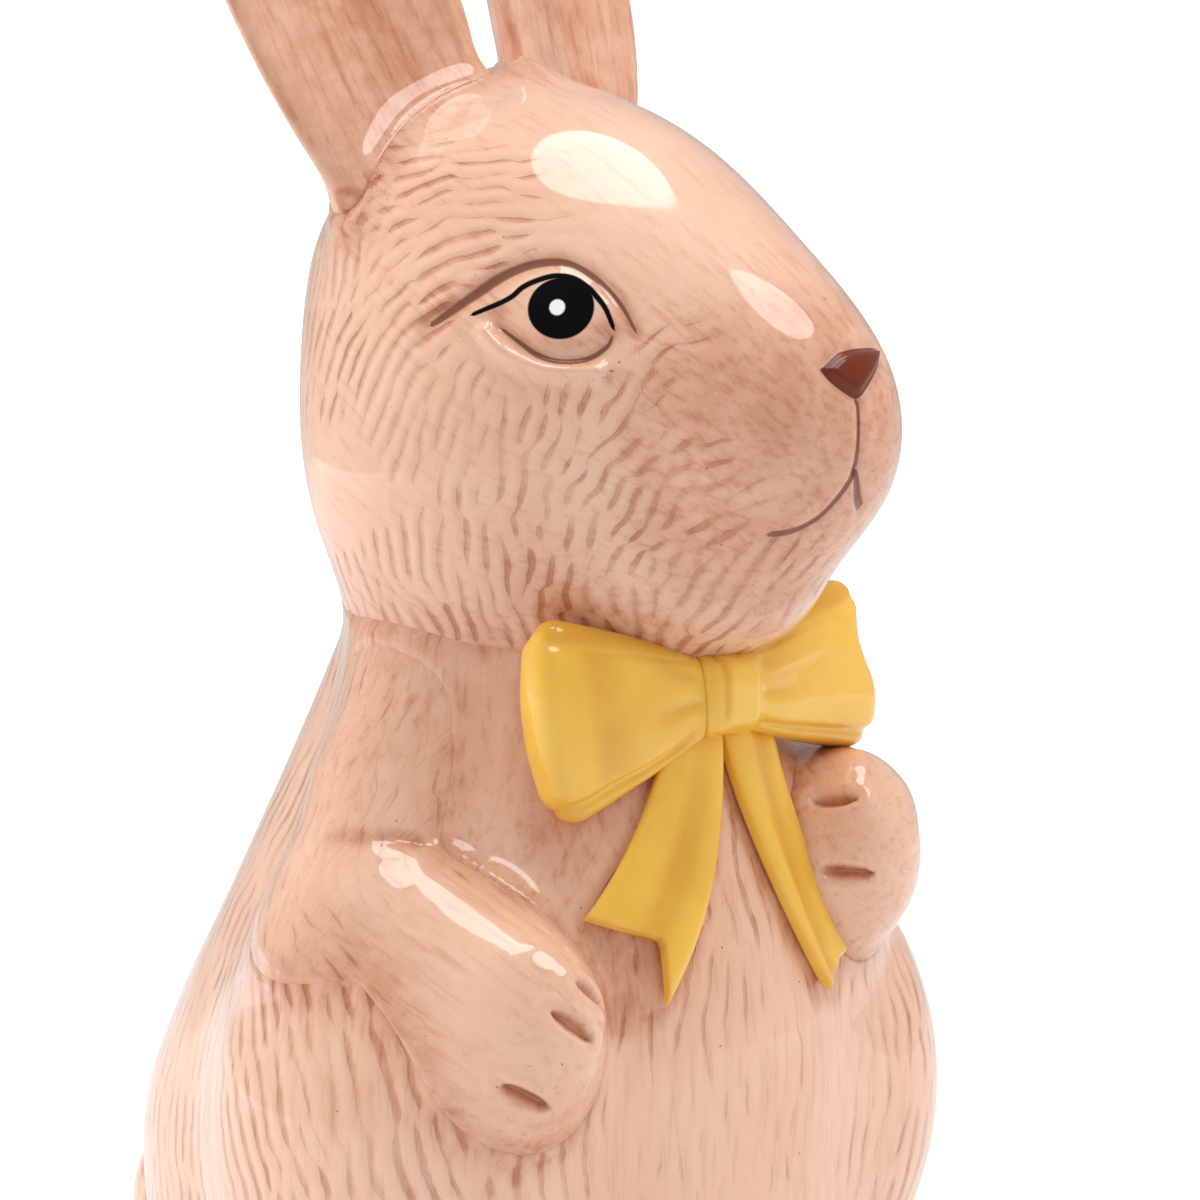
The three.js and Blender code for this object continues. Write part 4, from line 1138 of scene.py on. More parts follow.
def glaze_material(name, settings, painted=False):
    """Pale glaze with brown stain pooled in strokes and creases, painted shade under the head and beside the
    arms, wiped streaks, mottling and pinholes.
    """
    material, tree, shader = new_material(name)
    place = add(tree, "ShaderNodeTexCoord").outputs["Object"]
    cloud = noise(tree, place, *CLOUD)
    blotch = noise(tree, place, *BLOTCH)
    uneven = ranged(tree, blotch, 0.25, 0.75, (0.5, 1.0))
    ripple, groove = strokes(tree, place, uneven)
    # Stain pooled in creases and seams, and painted shade under the head and beside the arms, from the same
    # map
    darkening = product(tree, attribute(tree, "stain_and_shade"), uneven)
    line = product(tree, groove, settings.line)
    stain = total(tree, wiped_stain(tree, settings), darkening, line, product(tree, ripple, RIPPLE_STAIN))
    ground = mixed(tree, ranged(tree, cloud, 0.3, 0.75), settings.pale, settings.base)
    colour = mixed(tree, ranged(tree, stain, -0.1, 1.1), ground, settings.stain)
    colour = mixed(tree, ranged(tree, stain, 0.9, 1.9), colour, settings.pooled)
    colour = mixed(tree, pinholes(tree, place), colour, settings.pinhole)
    if painted:
        colour = painted_face(tree, shader, colour, settings)
    tree.links.new(colour, shader.inputs["Base Color"])
    height = maths(tree, "SUBTRACT", product(tree, blotch, BLOTCH_HEIGHT), groove)
    height = maths(tree, "SUBTRACT", height, product(tree, ripple, RIPPLE_HEIGHT))
    bump = add(tree, "ShaderNodeBump", {"Height": height, "Strength": 1.0, "Distance": BUMP_DEPTH})
    tree.links.new(bump.outputs[0], shader.inputs["Normal"])
    coat(shader, settings)
    return material


def ribbon_material(name, settings):
    """Yellow glaze, deeper where it pools in folds."""
    material, tree, shader = new_material(name)
    place = add(tree, "ShaderNodeTexCoord").outputs["Object"]
    thick = product(tree, ranged(tree, noise(tree, place, *AMBER_CLOUD), 0.4, 0.75), 0.35)
    pooled = maths(tree, "ADD", thick, attribute(tree, "stain_and_shade"), True)
    tree.links.new(mixed(tree, pooled, settings.yellow, settings.amber), shader.inputs["Base Color"])
    coat(shader, settings)
    return material


# Settings in the sidebar
def colour_setting(name, description, value):
    """A colour, from black to full."""
    return bpy.props.FloatVectorProperty(
        name=name, description=description, default=value, size=3, subtype="COLOR", min=0, max=1
    )


def share_setting(name, description, value):
    """A share between zero and one."""
    return bpy.props.FloatProperty(
        name=name, description=description, default=value, min=0, max=1, subtype="FACTOR"
    )


def brightness_setting(name, description, value):
    """A brightness of zero or more."""
    return bpy.props.FloatProperty(name=name, description=description, default=value, min=0)


def length_setting(name, description, value, least, most):
    """A length in metres between two limits."""
    return bpy.props.FloatProperty(
        name=name,
        description=description,
        default=value,
        min=least,
        max=most,
        unit="LENGTH",
        subtype="DISTANCE",
    )


class RabbitGlaze(bpy.types.PropertyGroup):
    """Colours and gloss of the glazes."""

    pale: colour_setting("Pale glaze", "Colour of the thin glaze", (0.92, 0.575, 0.405))
    base: colour_setting("Base glaze", "Colour of the thick glaze", (0.87, 0.505, 0.34))
    stain: colour_setting("Stain", "Colour of the brown stain", (0.54, 0.185, 0.078))
    pooled: colour_setting("Pooled stain", "Colour of the stain in deep creases", (0.2, 0.052, 0.018))
    pinhole: colour_setting("Pinhole", "Colour of the tiny holes", (0.10, 0.05, 0.03))
    brown: colour_setting("Brown paint", "Colour of the nose and mouth", (0.17, 0.024, 0.003))
    black: colour_setting("Black paint", "Colour of the pupil and lid line", (0.006, 0.006, 0.007))
    white: colour_setting("White paint", "Colour of the painted glint", (0.93, 0.92, 0.9))
    yellow: colour_setting("Yellow", "Colour of the bow", (0.96, 0.56, 0.058))
    amber: colour_setting("Amber", "Colour of the bow in its folds", (0.78, 0.38, 0.02))
    line: share_setting("Stroke stain", "Stain in the fur strokes", 0.56)
    streaks: share_setting("Streaks", "Stain wiped along the fur", 0.26)
    hatch: share_setting("Hatch", "Fine wiped marks", 0.17)
    roughness: share_setting("Gloss roughness", "Roughness of the clear coat", 0.05)
    under_roughness: share_setting("Body roughness", "Roughness under the coat", 0.45)
    ior: bpy.props.FloatProperty(
        name="Glaze index", description="Index of refraction of the coat", default=1.6, min=1, max=2.5
    )


class RabbitFur(bpy.types.PropertyGroup):
    """Sizes of the combed strokes."""

    gap: length_setting("Gap", "Room between strokes side by side", 0.0028, 0.001, 0.02)
    length: length_setting("Length", "Half the usual length of a stroke", 0.0065, 0.001, 0.05)
    seed: bpy.props.IntProperty(name="Seed", description="Start of the random numbers", default=7, min=0)


class RabbitStudio(bpy.types.PropertyGroup):
    """Soft boxes, panels, surroundings and camera."""

    overhead: brightness_setting("Soft boxes", "Brightness of the boxes overhead", 4.3)
    left: brightness_setting("Left panel", "Brightness of the panel on the left", 2.1)
    right: brightness_setting("Right panel", "Brightness of the panel on the right", 1.1)
    surroundings: brightness_setting("Surroundings", "Brightness of the white tent", 0.68)
    reflections: brightness_setting("Reflections", "The tent as seen in the glaze", 0.4)
    lens: bpy.props.FloatProperty(
        name="Lens", description="Focal length of the camera", default=CAMERA["lens"], min=10, unit="CAMERA"
    )


# Pieces
ARMS = (ARM_RIGHT, ARM_LEFT)
LOOPS = (Loop(LOOP_RIGHT), Loop(LOOP_LEFT))

# Stain in a seam and beside the bow, at its full strength
SEAM_STAIN = 0.6
BOW_STAIN = 0.55


# What each piece adds to the start of the random numbers, apart from its side
SEEDS = {"torso": 0, "head": 1, "ear": 5, "arm": 11, "foot": 21, "tail": 31}


def seed_of(context, piece, side=0):
    """Start of the random numbers of one piece, with a side of -1, 0 or 1."""
    return context.scene.rabbit_fur.seed + SEEDS[piece] + side


def fur_of(context, times=1.0):
    """Gap and half length of the strokes in millimetres, times a factor."""
    fur = context.scene.rabbit_fur
    return {"gap": times * fur.gap / METRE, "length": times * fur.length / METRE}


def glaze_named(context, name):
    """The glaze of that name, made once."""
    found = bpy.data.materials.get(name)
    if found:
        return found
    settings = context.scene.rabbit_glaze
    if name == "ribbon glaze":
        return ribbon_material(name, settings)
    return glaze_material(name, settings, painted=name == "face glaze")


def fur_piece(context, node, canvas, strokes, grain, glaze="fur glaze", lines=()):
    """A piece in stained glaze over combed fur, with a map for each painted line."""
    maps = {"comb": strokes, "stain_and_shade": canvas["stain_and_shade"], "grain": grain, **{key: canvas[key] for key in lines}}
    make_piece(f"rabbit_{node}", canvas.finished(), glaze_named(context, glaze), [node], maps)


def ribbon_piece(context, node, grid, stain_and_shade, capped=True):
    """A piece of the bow in yellow glaze."""
    glaze = glaze_named(context, "ribbon glaze")
    make_piece(f"rabbit_{node}", grid, glaze, [node], {"stain_and_shade": stain_and_shade}, capped)


def spine(points, forward, outside, first, last=None):
    """Where the rays of a skin start: a chain of points, the way forward at its ends, the way of the first
    column, and the shares of the rows that close the first and the last end."""
    poles = (first, first if last is None else last)
    return {"points": points, "forward": forward, "outside": outside, "poles": poles}


# Places of the rings on the base, as shares of the way from the vent to the rim
BASE_RINGS = (0.02, 0.35, 0.7, 0.985)


def torso_grid():
    """Rings from the roof of the kiln vent down its wall, over the base, up the sides and over the collar."""
    neck = (0, 0, COLLAR_HEIGHT - 12)
    path = spine([(0, 0, 0.05), neck], [(0, 0, 1)], (1, 0, 0), 0, 0.15)
    side = skin(torso_field, path, *GRIDS["torso"])
    rim = level(side[0])
    bearing = np.arctan2(rim[:, 1] - VENT_BACK, rim[:, 0])
    around = np.stack([np.cos(bearing), np.sin(bearing), 0 * bearing], -1)
    vent = VENT_RADIUS * around + np.array([0, VENT_BACK, 0])
    roof = vent + np.array([0, 0, VENT_DEPTH])
    middle = np.tile([0, VENT_BACK, VENT_DEPTH], (len(rim), 1))
    base = [vent + (rim - vent) * share for share in BASE_RINGS]
    return np.concatenate([np.stack([middle, (roof + middle) / 2, roof, vent, *base]), side])


def stain_arm_seam(canvas, arm, neighbour):
    """Stain in the seam between an arm and the torso, which fades out well above the elbow."""
    above = canvas.grid[..., 2] - arm_points(arm)[2][2]
    canvas.stain(SEAM_STAIN * near(canvas.grid, neighbour, 2.2, FILLET["arm"]) * ease(36, 18, above))


def press_folds(canvas, arm, sink=True):
    """Folds in the bends of an arm, as bells round their lines, stained and, on the arm itself, sunk."""
    for points, depth, stain, width in arm["folds"]:
        away = from_chain(canvas.grid, canvas.normals, points)
        canvas.stain(stain * bell(away, 1.2 * width))
        if sink:
            canvas.raise_(-depth * bell(away, width))


def build_torso(context):
    """Torso and haunches as one skin, stained beside every piece that sits on it, with painted shade beside
    the arms and under the head, and combed fur.
    """
    grid = settle(torso_grid(), head_field, FILLET["neck"])
    for arm in ARMS:
        grid = settle(grid, arm_field(arm), FILLET["arm"])
    canvas = Canvas(grid)
    for arm in ARMS:
        stain_arm_seam(canvas, arm, arm_field(arm))
        press_folds(canvas, arm, sink=False)
        # Painted shade on the chest beside each arm, deeper where the head hangs over it
        shade_beside_arm = near(grid, arm_field(arm), 3, FILLET["arm"])
        canvas.stain(0.34 * shade_beside_arm)
        canvas.stain(0.5 * near(grid, head_field, 30) * shade_beside_arm)
    canvas.stain(SEAM_STAIN * near(grid, head_field, 4, FILLET["neck"]))
    # Painted shade under the head, fading out over a wide band
    canvas.stain(0.1 * near(grid, head_field, 22))
    for loop in LOOPS:
        canvas.stain(BOW_STAIN * near(grid, loop.field, 2.2))
    canvas.stain(SEAM_STAIN * near(grid, scut_field, 2.5))
    for side in (-1, 1):
        canvas.stain(SEAM_STAIN * near(grid, foot_field(side), 2.5))
    for ribbon in (RIBBON_RIGHT, RIBBON_LEFT):
        canvas.stain(SEAM_STAIN * bell(ribbon_distance(grid, ribbon), 1.6) * (grid[..., 1] < 0))
    clear = (grid[..., 2] > 3) & (grid[..., 2] < COLLAR_HEIGHT - 2)
    strokes = comb(grid, torso_fur(), seed_of(context, "torso"), mask=clear, **fur_of(context, 1.2))
    fur_piece(context, "torso", canvas, strokes, grid)


# Brown on the sides of the muzzle: a ball ahead of the middle of the snout and below it, with a soft edge
MUZZLE = {"ahead": 10, "below": 4, "radius": 20, "fade": 5, "stain": 0.54}
NOTCH = {"stain": 1.5, "width": 0.9}


def stain_notch(canvas):
    """The mark in the joint of the near ear."""
    canvas.stain(NOTCH["stain"] * bell(from_chain(canvas.grid, canvas.normals, EAR_NOTCH), NOTCH["width"]))


def off_the_eyes(grid):
    """One over the head and zero in an oval over each eye, where the fur stops."""
    keep = np.ones(grid.shape[:2])
    for side in (-1, 1):
        uv = eye_seat(side).enter(grid)[..., :2] * np.array([-side, 1])
        off = (uv - BARE_OVAL["at"]) / BARE_OVAL["radii"]
        keep *= ease(*BARE_OVAL["edge"], np.hypot(off[..., 0], off[..., 1]))
    return keep


def build_head(context):
    """Head as one skin from a spine along the snout, with its face, fillets to the neck and combed fur."""
    _, along, above = SNOUT["at"]
    snout = HEAD.leave(np.array([0, along, above]))
    path = spine([HEAD.at, snout], [HEAD.axes @ np.array([0, -1.0, 0])], (0, 0, 1), 0.36)
    grid = settle(skin(head_field, path, *GRIDS["head"]), torso_field, FILLET["neck"])
    for side in (-1, 1):
        grid = settle(grid, ear_field(side), FILLET["ear"])
    canvas = Canvas(grid)
    for side in (-1, 1):
        draw_eye(canvas, side)
        canvas.stain(0.55 * near(grid, ear_field(side), 2.5, FILLET["ear"]))
    draw_mouth(canvas)
    muzzle = HEAD.leave(np.array([0, along - MUZZLE["ahead"], above - MUZZLE["below"]]))
    outside = np.maximum(np.linalg.norm(grid - muzzle, axis=-1) - MUZZLE["radius"], 0)
    canvas.stain(MUZZLE["stain"] * bell(outside, MUZZLE["fade"]))
    stain_notch(canvas)
    canvas.stain(0.5 * near(grid, torso_field, 4, FILLET["neck"]))
    for loop in LOOPS:
        canvas.stain(BOW_STAIN * near(grid, loop.field, 2.5))
    seed, keep = seed_of(context, "head"), off_the_eyes(grid)
    strokes = comb(grid, head_fur(), seed, like=lambda at: at - snout, mask=keep, **fur_of(context))
    grain = HEAD.enter(grid) @ turned(118, 0)
    lines = (*PAINTS, "lid_line", *CREASES, *MOUTH_LINES)
    fur_piece(context, "head", canvas, strokes, grain, "face glaze", lines)


def build_ears(context):
    """Each ear as a skin round its leaf, with the stain darker down its middle and in the joint."""
    for side, node in ((-1, "ear_right"), (1, "ear_left")):
        place = ear_frame(side)
        low, high = (place.leave(np.array([0, 0, height])) for height in (3, EAR_LENGTH - 8))
        path = spine([low, high], [place.axes[:, 2]], place.axes[:, 0], 0.12)
        grid = settle(skin(ear_field(side), path, *GRIDS["ear"]), head_field, FILLET["ear"])
        canvas = Canvas(grid)
        q = place.enter(grid)
        up = q[..., 2] / EAR_LENGTH
        front = ease(0, -2, q[..., 1] + (q[..., 0] / EAR_HALF_WIDTH) ** 2 * EAR_SCOOP)
        canvas.stain(0.5 * near(grid, head_field, 4, FILLET["ear"]))
        canvas.stain(0.54 + 0.25 * front * bell(q[..., 0] + side * 3, 8))
        stain_notch(canvas)
        canvas.raise_(-0.5 * front * bell(q[..., 0], 5) * ease(0.05, 0.3, up) * ease(1, 0.75, up))
        canvas.raise_(-0.6 * ease(0.9, 1, up))
        fur = limb_fur([place.leave(np.array([0, 0, h])) for h in (0, EAR_LENGTH / 2, EAR_LENGTH)], 0.35, 20)
        strokes = comb(grid, fur, seed_of(context, "ear", side), gap=4.0, length=15, mask=0.5)
        fur_piece(context, node, canvas, strokes, q)


SLIT = {"depth": 1.5, "lip": 0.25, "lip_at": 1.9, "width": 0.95, "stain": 1.25}


def slit_lines(arm):
    """Five places along each slit between the toes, where rays from the middle of the paw leave the arm."""
    paw, field = arm_points(arm)[3], arm_field(arm)
    for ends in arm["slits"]:
        turn, up = np.radians(np.linspace(*np.array(ends, float), 5)).T
        way = unit(np.stack([np.sin(turn), -np.cos(turn), np.tan(up)], -1))
        yield paw + way * reach_on(field, np.tile(paw, (5, 1)), way)[:, None]


def cut_slits(canvas, arm):
    """Slits between the toes with a lip beside each. The width falls as the square root of a little over one
    less the squared share of the way from the middle to an end."""
    for line in slit_lines(arm):
        away = from_chain(canvas.grid, canvas.normals, line)
        off_middle = 2 * np.linalg.norm(canvas.grid - line[2], axis=-1) / np.linalg.norm(line[4] - line[0])
        width = SLIT["width"] * np.sqrt(np.clip(1.1 - off_middle**2, 0.08, 1))
        canvas.raise_(-SLIT["depth"] * bell(away, width) + SLIT["lip"] * bell(away - SLIT["lip_at"], 0.9))
        canvas.stain(SLIT["stain"] * bell(away, width))


def build_arms(context):
    """Each arm as a skin from shoulder to paw, with fillets to the torso, a ridge on the forearm, toe slits
    and folds."""
    for arm, node in zip(ARMS, ("arm_right", "arm_left")):
        shoulder, upper, elbow, paw = points = arm_points(arm)
        path = spine(points, [unit(elbow - shoulder), unit(paw - elbow)], level(elbow), 0.22)
        grid = settle(skin(arm_field(arm), path, *GRIDS["arm"]), torso_field, FILLET["arm"])
        canvas = Canvas(grid)
        stain_arm_seam(canvas, arm, torso_field)
        # Painted shade on the arm beside the chest, and under the head towards the shoulder
        canvas.stain(0.26 * near(grid, torso_field, 4, FILLET["arm"]))
        canvas.stain(0.36 * near(grid, head_field, 30))
        for loop in LOOPS:
            canvas.stain(0.9 * near(grid, loop.field, 1.8))
        ahead = unit(paw - elbow)
        outward = unit(flatten(level(elbow + paw), ahead))
        rise = np.cross(outward, ahead) * -arm["side"]
        offset = grid - elbow
        along = offset @ ahead / np.linalg.norm(paw - elbow)
        angle = np.arctan2(offset @ rise, offset @ outward)
        on_forearm = ease(-0.15, 0.2, along) * ease(1.25, 0.9, along)
        canvas.raise_(on_forearm * (0.8 * bell(angle - 0.75, 0.33) - 0.3 * bell(angle - 0.2, 0.3)))
        cut_slits(canvas, arm)
        press_folds(canvas, arm)
        seed = seed_of(context, "arm", arm["side"])
        mask = 0.2 + 0.35 * ease(6, 20, np.linalg.norm(grid - paw, axis=-1))
        strokes = comb(grid, limb_fur(points, ARM_FUR), seed, mask=mask, **fur_of(context))
        turn = ease(-0.15, 0.15, along)[..., None]
        grain = turn * (offset @ np.stack([outward, rise, ahead], 1)) + (1 - turn) * grid
        fur_piece(context, node, canvas, strokes, grain)


# Places of the slits across a hind foot
FOOT_SLITS = (-4.5, 0.0, 4.5)


def build_feet_and_tail(context):
    """Hind feet and scut as skins with fillets to the torso, stained in the seam."""
    for side, node in ((-1, "hind_foot_right"), (1, "hind_foot_left")):
        place = foot_frame(side)
        reach = FOOT["radii"][1] / 2
        points = [place.leave(np.array([0, along, 0])) for along in (reach, -reach)]
        path = spine(points, [-place.axes[:, 1]], (0, 0, 1), 0.3)
        grid = settle(skin(foot_field(side), path, *GRIDS["foot"]), torso_field, FILLET["foot"])
        canvas = Canvas(grid)
        canvas.stain(0.8 * near(grid, torso_field, 2))
        q = place.enter(grid)
        for across in FOOT_SLITS:
            behind_toes = np.maximum(q[..., 1] + 0.6 * FOOT["radii"][1], 0)
            away = np.hypot(q[..., 0] - across, 0.6 * behind_toes)
            slit = bell(away, 0.9) * ease(2, 5, q[..., 2] + FOOT["up"])
            canvas.raise_(-slit)
            canvas.stain(slit)
        seed = seed_of(context, "foot", side)
        strokes = comb(grid, limb_fur(points, 0.5), seed, mask=0.7, **fur_of(context))
        fur_piece(context, node, canvas, strokes, grid)
    path = spine([SCUT_MIDDLE, SCUT_MIDDLE + np.array([0, 1, 0])], [(0, 1, 0)], (0, 0, 1), 0.45)
    grid = settle(skin(scut_field, path, *GRIDS["tail"]), torso_field, FILLET["tail"])
    canvas = Canvas(grid)
    canvas.stain(0.8 * near(grid, torso_field, 2.5))
    top = np.array([0, 0, SCUT["radii"][2]])
    fur = limb_fur([SCUT_MIDDLE + top, SCUT_MIDDLE - top], 1)
    strokes = comb(grid, fur, seed_of(context, "tail"), **fur_of(context))
    fur_piece(context, "tail", canvas, strokes, grid)


def build_knot(context):
    """Middle of the bow as a cushion with a groove beside its band, stained along both edges."""
    points = [KNOT_MIDDLE + np.array([0, 0, -1.0]), KNOT_MIDDLE + np.array([0, 0, 1.0])]
    grid = skin(knot_field, spine(points, [(0, 0, 1)], (1, 0, 0), 0.4), *GRIDS["knot"])
    for loop in LOOPS:
        grid = settle(grid, loop.field, FILLET["knot"])
    canvas = Canvas(grid)
    x, _, z = np.moveaxis(grid - KNOT_MIDDLE, -1, 0)
    groove = bell(x + 2.7, 0.6) * ease(-4.5, -2, z)
    canvas.raise_(-0.35 * groove + 0.2 * bell(x - 3.3, 0.7))
    canvas.stain(0.7 * groove)
    canvas.stain(0.6 * bell(z + 4.9 + 0.06 * x**2, 0.6))
    canvas.stain(0.5 * bell(z - 5.2, 0.9))
    ribbon_piece(context, "bow_knot", canvas.finished(), canvas["stain_and_shade"])


def shape_right_loop(canvas, share, edge):
    """A shallow valley across the near loop, with amber pooled in it."""
    valley = ease(0.8, 0.66, share) * ease(0.44, 0.64, share) * ease(0.85, 0.6, np.abs(edge))
    canvas.raise_(-0.4 * bell(share - 0.6, 0.11) * ease(1, 0.6, np.abs(edge)))
    canvas.stain(0.6 * valley)
    canvas.stain(0.12 * bell(share - 0.93, 0.03))


def shape_left_loop(canvas, share, edge):
    """A ridge that runs out along the far loop, with amber below it."""
    ridge = bell(edge - 0.25 - 0.25 * share, 0.12) * ease(0.05, 0.2, share) * ease(0.65, 0.4, share)
    canvas.raise_(0.35 * ridge)
    canvas.stain(0.35 * bell(edge - 0.1 - 0.2 * share, 0.1) * ease(0.7, 0.3, share))


def build_bow(context):
    """Knot and loops as skins. Each loop has gathers by the knot, folded edges, and rounded corners and a
    puffed rim at its outer end."""
    build_knot(context)
    shapes = (shape_right_loop, shape_left_loop)
    for loop, node, shape in zip(LOOPS, ("bow_loop_right", "bow_loop_left"), shapes):
        points = [loop.start + loop.along * loop.length * share for share in (0.15, 0.8)]
        grid = skin(loop.field, spine(points, [loop.along], loop.rise, 0.25), *GRIDS["loop"])
        canvas = Canvas(settle(grid, knot_field, FILLET["knot"]))
        share, up, _ = loop.enter(canvas.grid)
        edge = up / loop.half(share)
        body = ease(0.03, 0.2, share) * ease(1.0, 0.9, share)
        fan = np.arctan2(up, share * loop.length + 5)
        gathers = (0.5 + 0.5 * np.cos(fan * 13 + 1)) ** 2 * ease(0.05, 0.12, share) * ease(0.42, 0.15, share)
        canvas.raise_(-0.3 * gathers)
        canvas.stain(0.35 * gathers)
        folds = 0.3 * bell(edge + 0.92, 0.07) - 0.35 * bell(edge - 0.76, 0.07) - 0.45 * bell(edge + 0.8, 0.06)
        canvas.raise_(body * folds)
        canvas.stain(body * 0.85 * ease(0.72, 0.85, edge) * ease(1.08, 0.96, edge))
        canvas.stain(body * 0.5 * bell(edge + 0.86, 0.06))
        shape(canvas, share, edge)
        canvas.raise_(-2.0 * ease(0.78, 1.0, share) * ease(0.6, 1.05, np.abs(edge)))
        canvas.raise_(0.5 * ease(0.88, 1.0, share) * ease(0.6, 0.1, np.abs(edge)))
        canvas.stain(0.55 * near(canvas.grid, knot_field, 1))
        canvas.stain(0.5 * near(canvas.grid, head_field, 1.5))
        ribbon_piece(context, node, canvas.finished(), canvas["stain_and_shade"])


def ribbon_places(ribbon, share):
    """Middle line of a ribbon across and up the chest, on a curve through three points, with its way and its
    half width."""
    a, b, c = (np.array(point, float) for point in ribbon["line"])
    t = share[..., None]
    spot = (1 - t) ** 2 * a + 2 * t * (1 - t) * b + t**2 * c
    way = unit(2 * (1 - t) * (b - a) + 2 * t * (c - b))
    half = (ribbon["widths"][0] + (ribbon["widths"][1] - ribbon["widths"][0]) * share) / 2
    return spot + np.array([0, KNOT["height"]]), way, half


def ribbon_distance(grid, ribbon):
    """Way across the chest from each point to the nearest edge of a ribbon's strip, zero under it."""
    spot, _, half = ribbon_places(ribbon, np.linspace(0, 1, 24))
    flat = grid.reshape(-1, 3)[:, [0, 2]]
    gap = np.linalg.norm(flat[:, None] - spot, axis=-1) - half
    return np.maximum(gap.min(1), 0).reshape(grid.shape[:2])


def signed_power(x, power):
    """A power of the size of a number, with the number's sign."""
    return np.sign(x) * np.abs(x) ** power


def build_ribbons(context):
    """Each ribbon end as a flat oval section carried down a line on the chest, notched or cut at its end.
    The right one has a fold that fades in down its middle, and the left one's fold crosses it."""
    rows, columns = GRIDS["ribbon"]
    turn = np.linspace(0, 2 * math.pi, columns, endpoint=False)
    row = np.linspace(0, 1, rows)[:, None]
    lane, layer = signed_power(np.cos(turn), 0.45), signed_power(np.sin(turn), 0.6)
    front = np.maximum(layer, 0)
    last, first = (np.sqrt(np.clip(1 - share**2, 0, 1)) for share in (ease(0.97, 1, row), ease(0.03, 0, row)))
    right_fold = bell(lane - 0.1, 0.3) * ease(0, 0.6, row)
    left_fold = bell(lane - 0.25 + 0.9 * row, 0.25)
    for ribbon, node, fold in (
        (RIBBON_RIGHT, "bow_ribbon_right", right_fold),
        (RIBBON_LEFT, "bow_ribbon_left", left_fold),
    ):
        left, inner, right = ribbon["cut"]
        notch = ribbon["notch"]
        edge = np.where(lane < notch, left, right)
        room = np.where(lane < notch, 1 + notch, 1 - notch)
        share = row * (inner + (edge - inner) * np.abs(lane - notch) / room)
        spot, way, half = ribbon_places(ribbon, share)
        x = spot[..., 0] - way[..., 1] * lane * half
        z = spot[..., 1] + way[..., 0] * lane * half
        start = np.stack([x, 0 * x, z], -1)
        ahead = np.tile([0, -1.0, 0], (*x.shape, 1))
        at = start + ahead * reach_on(torso_field, start, ahead)[..., None]
        lift = 0.5 * RIBBON_THICKNESS * (1 + layer * last * first * 0.96) - front * 0.55 * fold
        grid = at + slope_of(torso_field, at) * np.maximum(lift, 0.1)[..., None]
        stain_and_shade = 0.75 * fold * front + 0.3 * ease(0.25, 0.0, row) * front
        ribbon_piece(context, node, grid, stain_and_shade, capped=False)


# Studio, with half the floor and the camera's farthest view in metres, and its sensor in millimetres
FLOOR_HALF = 6
PAPER_GREY = 0.8
SENSOR_WIDTH = 36
CLIP_END = 20


def soft_box(context, name, place, turn, size, radiance, mirrored=True):
    """A lit oval, or a panel that the glaze does not mirror, at a place, turned by radians. Its power is its
    radiance times pi times its area."""
    lamp = bpy.data.lights.new(name, "AREA")
    lamp.shape = "ELLIPSE" if mirrored else "RECTANGLE"
    lamp.size, lamp.size_y = (side * METRE for side in size)
    lamp.energy = radiance * math.pi * lamp.size * lamp.size_y * (math.pi / 4 if mirrored else 1)
    box = bpy.data.objects.new(name, lamp)
    box.location = (np.array(place) + SHIFT) * METRE
    box.rotation_euler = turn
    box.visible_camera = False
    box.visible_glossy = mirrored
    context.scene.collection.objects.link(box)


def paper_material():
    """Pale paper that the camera sees as white."""
    material = bpy.data.materials.new("floor paper")
    material.use_nodes = True
    tree = material.node_tree
    tree.nodes.clear()
    path = add(tree, "ShaderNodeLightPath")
    paper = add(tree, "ShaderNodeBsdfDiffuse", {"Color": (PAPER_GREY, PAPER_GREY, PAPER_GREY, 1)})
    lift = add(tree, "ShaderNodeEmission", {"Color": (1, 1, 1, 1), "Strength": path.outputs["Is Camera Ray"]})
    both = add(tree, "ShaderNodeAddShader", {0: paper.outputs[0], 1: lift.outputs[0]})
    add(tree, "ShaderNodeOutputMaterial", {"Surface": both.outputs[0]})
    return material


def lay_floor(scene):
    """A flat square of paper under the rabbit."""
    corners = [(x * FLOOR_HALF, y * FLOOR_HALF, 0) for x, y in ((-1, -1), (1, -1), (1, 1), (-1, 1))]
    mesh = bpy.data.meshes.new("floor")
    mesh.from_pydata(corners, [], [(0, 1, 2, 3)])
    mesh.materials.append(paper_material())
    floor = bpy.data.objects.new("floor", mesh)
    scene.collection.objects.link(floor)


def white_tent(studio):
    """White surroundings, dimmer in the glaze and full white to the camera."""
    world = bpy.data.worlds.new("white tent")
    world.use_nodes = True
    tree = world.node_tree
    tree.nodes.clear()
    path = add(tree, "ShaderNodeLightPath")
    shown = add(tree, "ShaderNodeBackground", {"Color": (1, 1, 1, 1), "Strength": studio.surroundings})
    for ray, strength in (("Is Glossy Ray", studio.reflections), ("Is Camera Ray", 1.0)):
        seen = add(tree, "ShaderNodeBackground", {"Color": (1, 1, 1, 1), "Strength": strength})
        inputs = {0: path.outputs[ray], 1: shown.outputs[0], 2: seen.outputs[0]}
        shown = add(tree, "ShaderNodeMixShader", inputs)
    add(tree, "ShaderNodeOutputWorld", {"Surface": shown.outputs[0]})
    return world


def photo_camera(studio):
    """The camera at the photo's angle, looking at its target."""
    camera = bpy.data.cameras.new("photo camera")
    camera.lens = studio.lens
    camera.sensor_width = SENSOR_WIDTH
    camera.clip_end = CLIP_END
    eye = bpy.data.objects.new("photo camera", camera)
    eye.location = (np.array(CAMERA["target"]) + SHIFT + TO_CAMERA * CAMERA["distance"]) * METRE
    eye.rotation_euler = direction_to(CAMERA["azimuth"], CAMERA["elevation"])[1]
    return eye


